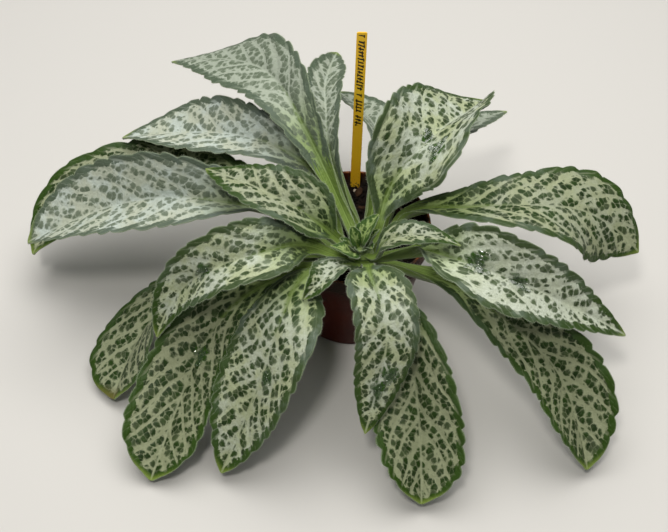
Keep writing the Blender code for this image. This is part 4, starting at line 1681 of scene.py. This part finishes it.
@dataclass
class Stem:
    """The short leaning stem with the heart of the rosette."""

    box: tuple[Points, Points]
    sides: int = 64
    rings: int = 44
    sunk: float = 5.0
    foot: float = 52.3
    top: float = 79.4
    dome: float = 0.3
    inset: float = 0.4
    lump: float = 0.35
    young_seed: int = 40

    def tube(self) -> Points:
        """Lays the rings of the stem's skin from the top down.

        Returns:
            Its points, with the middles of its two ends last.
        """
        turn = np.arange(self.sides) / self.sides * TURN
        rows = []
        for height in np.linspace(self.top, self.foot, self.rings):
            ridge = self.lump * np.sin(5 * turn + height * 0.9) * np.sin(height * 1.3 + 2 * turn)
            radius = STEM_LINE.radius(height) - self.inset + ridge
            rows.append(STEM_LINE.centre(height) + ring(radius, 0.0, self.sides))
        return np.vstack((*rows, rows[0].mean(axis=0) + (0.0, 0.0, self.dome), rows[-1].mean(axis=0)))

    def build(self, leaf_materials: Materials) -> None:
        """Makes the stem and its young leaves.

        Args:
            leaf_materials: the leaves' materials.
        """
        weave = Weave()
        materials = (YOUNG_UPPER.make(), *leaf_materials[1:3], StemSkin().make())
        faces = tube_faces(self.rings, self.sides)
        walls = faces[:, -1] >= 0
        # Each wall face starts at its lower edge, which settles the diagonal that splits it.
        faces[walls] = np.roll(faces[walls], -1, axis=1)
        weave.add(self.tube(), faces, len(materials) - 1)
        for number, leaf in enumerate(YOUNG_LEAVES, self.young_seed):
            form = BladeForm(leaf, sunk=self.sunk, seed=number)
            LeafPiece(form, self.box, weave, columns=21, rooted=(0.0,), lamina=0.8, hair_step=0.3).build()
        settle(show("stem_skin", weave.mesh("stem_skin"), materials), Slot.STEM, "stem")


@dataclass
class Pot:
    """The thin moulded pot, turned finely, with its drain holes."""

    height: float = 66.0
    rim_radius: float = 42.5
    rim_band: float = 8.5
    rim_step: float = 1.3
    foot_radius: float = 30.0
    wall: float = 1.2
    floor: float = 1.6
    edge_round: float = 0.5
    foot_chamfer: float = 1.5
    corner_steps: int = 4
    sides: int = 160
    hole_count: int = 6
    hole_radius: float = 3.5
    hole_ring: float = 20.0
    hole_sides: int = 40

    def profile(self) -> list[tuple[float, float]]:
        """Draws the wall's outline, up the outside and down the inside, with its corners rounded.

        Returns:
            The radius and height of each point.
        """
        band_foot, step_foot = self.height - self.rim_band, self.height - self.rim_band - self.rim_step
        body_top, inner_rim = self.rim_radius - self.rim_step, self.rim_radius - self.wall
        corners = (
            (0.0, 0.0, 0.0),
            (self.foot_radius - self.foot_chamfer, 0.0, 0.8),
            (self.foot_radius, self.foot_chamfer, 0.8),
            (body_top, step_foot, 0.4),
            (self.rim_radius, band_foot, 0.4),
            (self.rim_radius, self.height, self.edge_round),
            (inner_rim, self.height, self.edge_round),
            (inner_rim, band_foot, 0.5),
            (body_top - self.wall, step_foot, 0.5),
            (self.foot_radius - self.wall, self.floor, 0.8),
            (0.0, self.floor, 0.0),
        )
        points = [Vector(corner[:2]) for corner in corners]
        line = [corners[0][:2]]
        for i in range(1, len(points) - 1):
            before = (points[i - 1] - points[i]).normalized() * corners[i][2]
            after = (points[i + 1] - points[i]).normalized() * corners[i][2]
            steps = (step / self.corner_steps for step in range(self.corner_steps + 1))
            line += [tuple(points[i] + before * (1 - t) ** 2 + after * t**2) for t in steps]
        return [*line, corners[-1][:2]]

    def build(self) -> None:
        """Makes the pot."""
        bm = bmesh.new()
        loop = [bm.verts.new((radius * MM, 0.0, height * MM)) for radius, height in self.profile()]
        turned = loop + [bm.edges.new(pair) for pair in zip(loop, loop[1:])]
        bmesh.ops.spin(bm, geom=turned, axis=(0, 0, 1), angle=TURN, steps=self.sides, use_merge=True)
        bmesh.ops.remove_doubles(bm, verts=bm.verts, dist=1e-6)
        bmesh.ops.recalc_face_normals(bm, faces=bm.faces)
        piece = show("pot_skin", mesh_of(bm, "pot_skin"), (PotPlastic().make(),))
        self.drill(piece)
        piece.data.shade_smooth()
        piece.data.set_sharp_from_angle(angle=CREASE)
        settle(piece, Slot.POT, "pot")

    def drill(self, piece: bpy.types.Object) -> None:
        """Cuts the drain holes.

        Args:
            piece: the pot.
        """
        bm = bmesh.new()
        for hole in range(self.hole_count):
            place = Vector(heading(360.0 * (hole + 0.5) / self.hole_count)) * self.hole_ring * MM
            bmesh.ops.create_cone(
                bm, cap_ends=True, segments=self.hole_sides, radius1=self.hole_radius * MM,
                radius2=self.hole_radius * MM, depth=4 * self.floor * MM, matrix=Matrix.Translation(place),
            )
        cutter = show("drain_holes", mesh_of(bm, "drain_holes"), ())
        cut = piece.modifiers.new("drain_holes", "BOOLEAN")
        cut.operation, cut.object = "DIFFERENCE", cutter
        bpy.context.view_layer.update()
        drilled = bpy.data.meshes.new_from_object(piece.evaluated_get(bpy.context.evaluated_depsgraph_get()))
        piece.modifiers.clear()
        piece.data = drilled
        bpy.data.objects.remove(cutter, do_unlink=True)


@dataclass(frozen=True)
class Grains:
    """A kind of loose grain: its count, material slot, least and greatest radius, and length to width."""

    count: int
    kind: int
    sizes: tuple[float, float]
    long: float


@dataclass
class Soil:
    """The potting mix: a lumpy bed under loose grains of peat, bark and perlite."""

    level: float = 60.3
    bump: float = 0.5
    wave_x: float = 20.0
    wave_y: float = 23.0
    wave_slant: float = 12.5
    radius: float = 39.6
    foot: float = 28.4
    bottom: float = 2.0
    shoulder: float = 56.2
    rings: int = 60
    sides: int = 150
    wall_gap: float = 0.3
    bedded: float = 0.15
    tilt: float = 0.4
    roughness: float = 0.16
    flat: tuple[float, float] = (0.5, 0.9)
    seed: int = 11
    grains: tuple[Grains, ...] = (
        Grains(1250, 0, (0.4, 1.2), 0.9),
        Grains(34, 1, (0.8, 2.0), 2.3),
        Grains(26, 2, (0.5, 1.1), 1.1),
    )

    def surface(self, x: Points, y: Points) -> Points:
        """The height of the bed.

        Args:
            x: places along X.
            y: places along Y.

        Returns:
            Heights in millimetres.
        """
        lumps = np.sin(TURN * x / self.wave_x + 1.0) * np.cos(TURN * y / self.wave_y)
        ripple = np.sin(TURN * (x - y) / self.wave_slant + 2.0)
        crumbs = 0.25 * np.sin(x * 2.1 + 0.7 * y) * np.sin(y * 1.9 - 0.6 * x + 1.0)
        return self.level + self.bump * (lumps + ripple + crumbs)

    def bed(self) -> Points:
        """Lays the closed body of the soil, from the middle of its top outwards and down.

        Returns:
            Its points, with the middles of its two ends last.
        """
        rows = [ring(self.radius * step / self.rings, 0.0, self.sides) for step in range(1, self.rings + 1)]
        for row in rows:
            row[:, 2] = self.surface(row[:, 0], row[:, 1])
        slope = (self.radius - self.foot) / (self.shoulder - self.bottom)
        for height in (self.shoulder, self.bottom):
            rows.append(ring(self.foot + slope * (height - self.bottom), height, self.sides))
        return np.vstack((*rows, (0.0, 0.0, self.surface(0.0, 0.0)), (0.0, 0.0, self.bottom)))

    def build(self) -> None:
        """Makes the soil."""
        weave, draw = Weave(), np.random.default_rng(self.seed)
        weave.add(self.bed(), tube_faces(self.rings + 2, self.sides), 0)
        for grains in self.grains:
            self.scatter(weave, draw, grains)
        piece = show("soil_bed", weave.mesh("soil_bed"), tuple(grit.value.make() for grit in Grit))
        settle(piece, Slot.SOIL, "soil")

    def scatter(self, weave: Weave, draw: np.random.Generator, grains: Grains) -> None:
        """Beds loose grains in the surface.

        Args:
            weave: the mesh that takes them.
            draw: the random numbers.
            grains: what they are.
        """
        shape, faces = pebble()
        for _ in range(grains.count):
            size = draw.uniform(*grains.sizes)
            away = math.sqrt(draw.uniform(0.0, 1.0)) * (self.radius - size * grains.long - self.wall_gap)
            turn = draw.uniform(0.0, TURN)
            x, y = math.cos(turn) * away, math.sin(turn) * away
            turned, tipped = draw.uniform(0.0, TURN), draw.normal(0.0, self.tilt)
            spin = Matrix.Rotation(turned, 3, "Z") @ Matrix.Rotation(tipped, 3, "X")
            rough = shape * (1.0 + draw.normal(0.0, self.roughness, (len(shape), 1)))
            form = rough * (grains.long, 1.0, draw.uniform(*self.flat)) * size
            place = (x, y, self.surface(x, y) + size * self.bedded)
            weave.add(form @ np.array(spin).T + place, faces, grains.kind)


@dataclass
class Label:
    """The strip of yellow plastic, with eased edges."""

    width: float = 5.4
    thick: float = 0.8
    foot: Place = (1.4, 35.6, 42.0)
    top: Place = (4.2, 38.6, 164.5)
    point: float = 8.0
    corner: float = 0.8
    cut: float = 0.3
    ease: float = 0.14

    def frame(self) -> tuple[Matrix, float]:
        """The label's place: its own Z runs up the strip, and X across it.

        Returns:
            The place and the strip's length.
        """
        foot, top = Vector(self.foot), Vector(self.top)
        up = (top - foot).normalized()
        out = up.cross(Vector((1.0, 0.0, 0.0))).normalized()
        turn = Matrix((out.cross(up), out, up)).transposed().to_4x4()
        return Matrix.Translation(foot) @ turn, (top - foot).length

    def build(self) -> None:
        """Makes the label."""
        place, long = self.frame()
        half, corner, cut = self.width / 2, self.corner, self.corner * self.cut
        right = ((half, self.point), (half, long - corner), (half - cut, long - cut), (half - corner, long))
        outline = ((0.0, 0.0), *right, *((-x, z) for x, z in reversed(right)))
        bm = bmesh.new()
        depths = (-self.thick / 2, self.thick / 2)
        front, back = ([bm.verts.new((x, y, z)) for x, z in outline] for y in depths)
        bm.faces.new(front)
        bm.faces.new(reversed(back))
        for a, b, c, d in zip(front, back, back[1:] + back[:1], front[1:] + front[:1]):
            bm.faces.new((a, b, c, d))
        bmesh.ops.recalc_face_normals(bm, faces=bm.faces)
        bmesh.ops.bevel(bm, geom=bm.edges, offset=self.ease, segments=3, affect="EDGES")
        strip = bm.loops.layers.uv.new("strip")
        for loop in (loop for face in bm.faces for loop in face.loops):
            loop[strip].uv = loop.vert.co.x / CENTIMETRE, loop.vert.co.z / CENTIMETRE
        bm.transform(Matrix.Scale(MM, 4) @ place)
        mesh = mesh_of(bm, "label_strip")
        mesh.shade_smooth()
        mesh.set_sharp_from_angle(angle=CREASE)
        settle(show("label_strip", mesh, (LabelPlastic().make(),)), Slot.LABEL, "label")


@dataclass(frozen=True)
class AreaLamp:
    """One soft round light, which shines on the plant's middle."""

    name: str
    place: Place
    size: float
    power: float
    colour: Colour
    aim: Place = (0.0, 0.0, 0.05)

    def build(self) -> None:
        """Hangs the light."""
        data = bpy.data.lights.new(self.name, "AREA")
        data.shape, data.size, data.energy, data.color = "DISK", self.size, self.power, self.colour
        lamp = bpy.data.objects.new(self.name, data)
        lamp.location = self.place
        lamp.rotation_euler = (Vector(self.aim) - Vector(self.place)).to_track_quat("-Z", "Y").to_euler()
        bpy.context.scene.collection.objects.link(lamp)


@dataclass
class Studio:
    """The pale floor, the soft lights, the world and the camera, in metres."""

    floor_size: float = 8.0
    world: Colour = (0.80, 0.82, 0.85)
    world_strength: float = 0.22
    lens: float = 70.06
    sensor: float = 36.0
    nearest: float = 0.01
    camera_place: Place = (-0.00996, -0.49374, 0.56274)
    camera_tilt: float = 43.0
    lamps: tuple[AreaLamp, ...] = (
        AreaLamp("overhead", (0.03, 0.24, 1.00), 1.20, 11.3, (1.0, 0.99, 0.97)),
        AreaLamp("ceiling", (-0.15, -0.60, 1.15), 0.19, 4.8, (1.0, 0.98, 0.95)),
    )

    def build(self) -> None:
        """Sets up everything round the plant."""
        bm = bmesh.new()
        bmesh.ops.create_grid(bm, x_segments=1, y_segments=1, size=self.floor_size / 2)
        show("floor", mesh_of(bm, "floor"), (StudioFloor().make(),))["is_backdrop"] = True
        for lamp in self.lamps:
            lamp.build()
        scene, world = bpy.context.scene, bpy.data.worlds.new("soft room")
        world.use_nodes = True
        back = world.node_tree.nodes["Background"]
        back.inputs["Color"].default_value = (*self.world, 1.0)
        back.inputs["Strength"].default_value = self.world_strength
        scene.world = world
        scene.view_settings.view_transform = "Standard"
        data = bpy.data.cameras.new("photo angle")
        data.lens, data.sensor_width, data.clip_start = self.lens, self.sensor, self.nearest
        camera = bpy.data.objects.new("photo_angle", data)
        camera.location = self.camera_place
        camera.rotation_euler = (math.radians(self.camera_tilt), 0.0, 0.0)
        scene.collection.objects.link(camera)
        scene.camera = camera


def main() -> None:
    """Builds the plant, its pot and the studio, and reports each piece."""
    logging.basicConfig(level=logging.INFO, format="%(name)s: %(message)s")
    for obj in list(bpy.data.objects):
        bpy.data.objects.remove(obj, do_unlink=True)
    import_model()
    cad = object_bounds()
    low, high = (np.array(corner) / MM for corner in cad)
    Studio().build()
    rosette = Rosette((low + 0.02, high - 0.02))
    materials = rosette.dress()
    rosette.build(materials)
    Stem((low, high)).build(materials)
    Pot().build()
    Soil().build()
    Label().build()


if __name__ == "__main__":
    main()
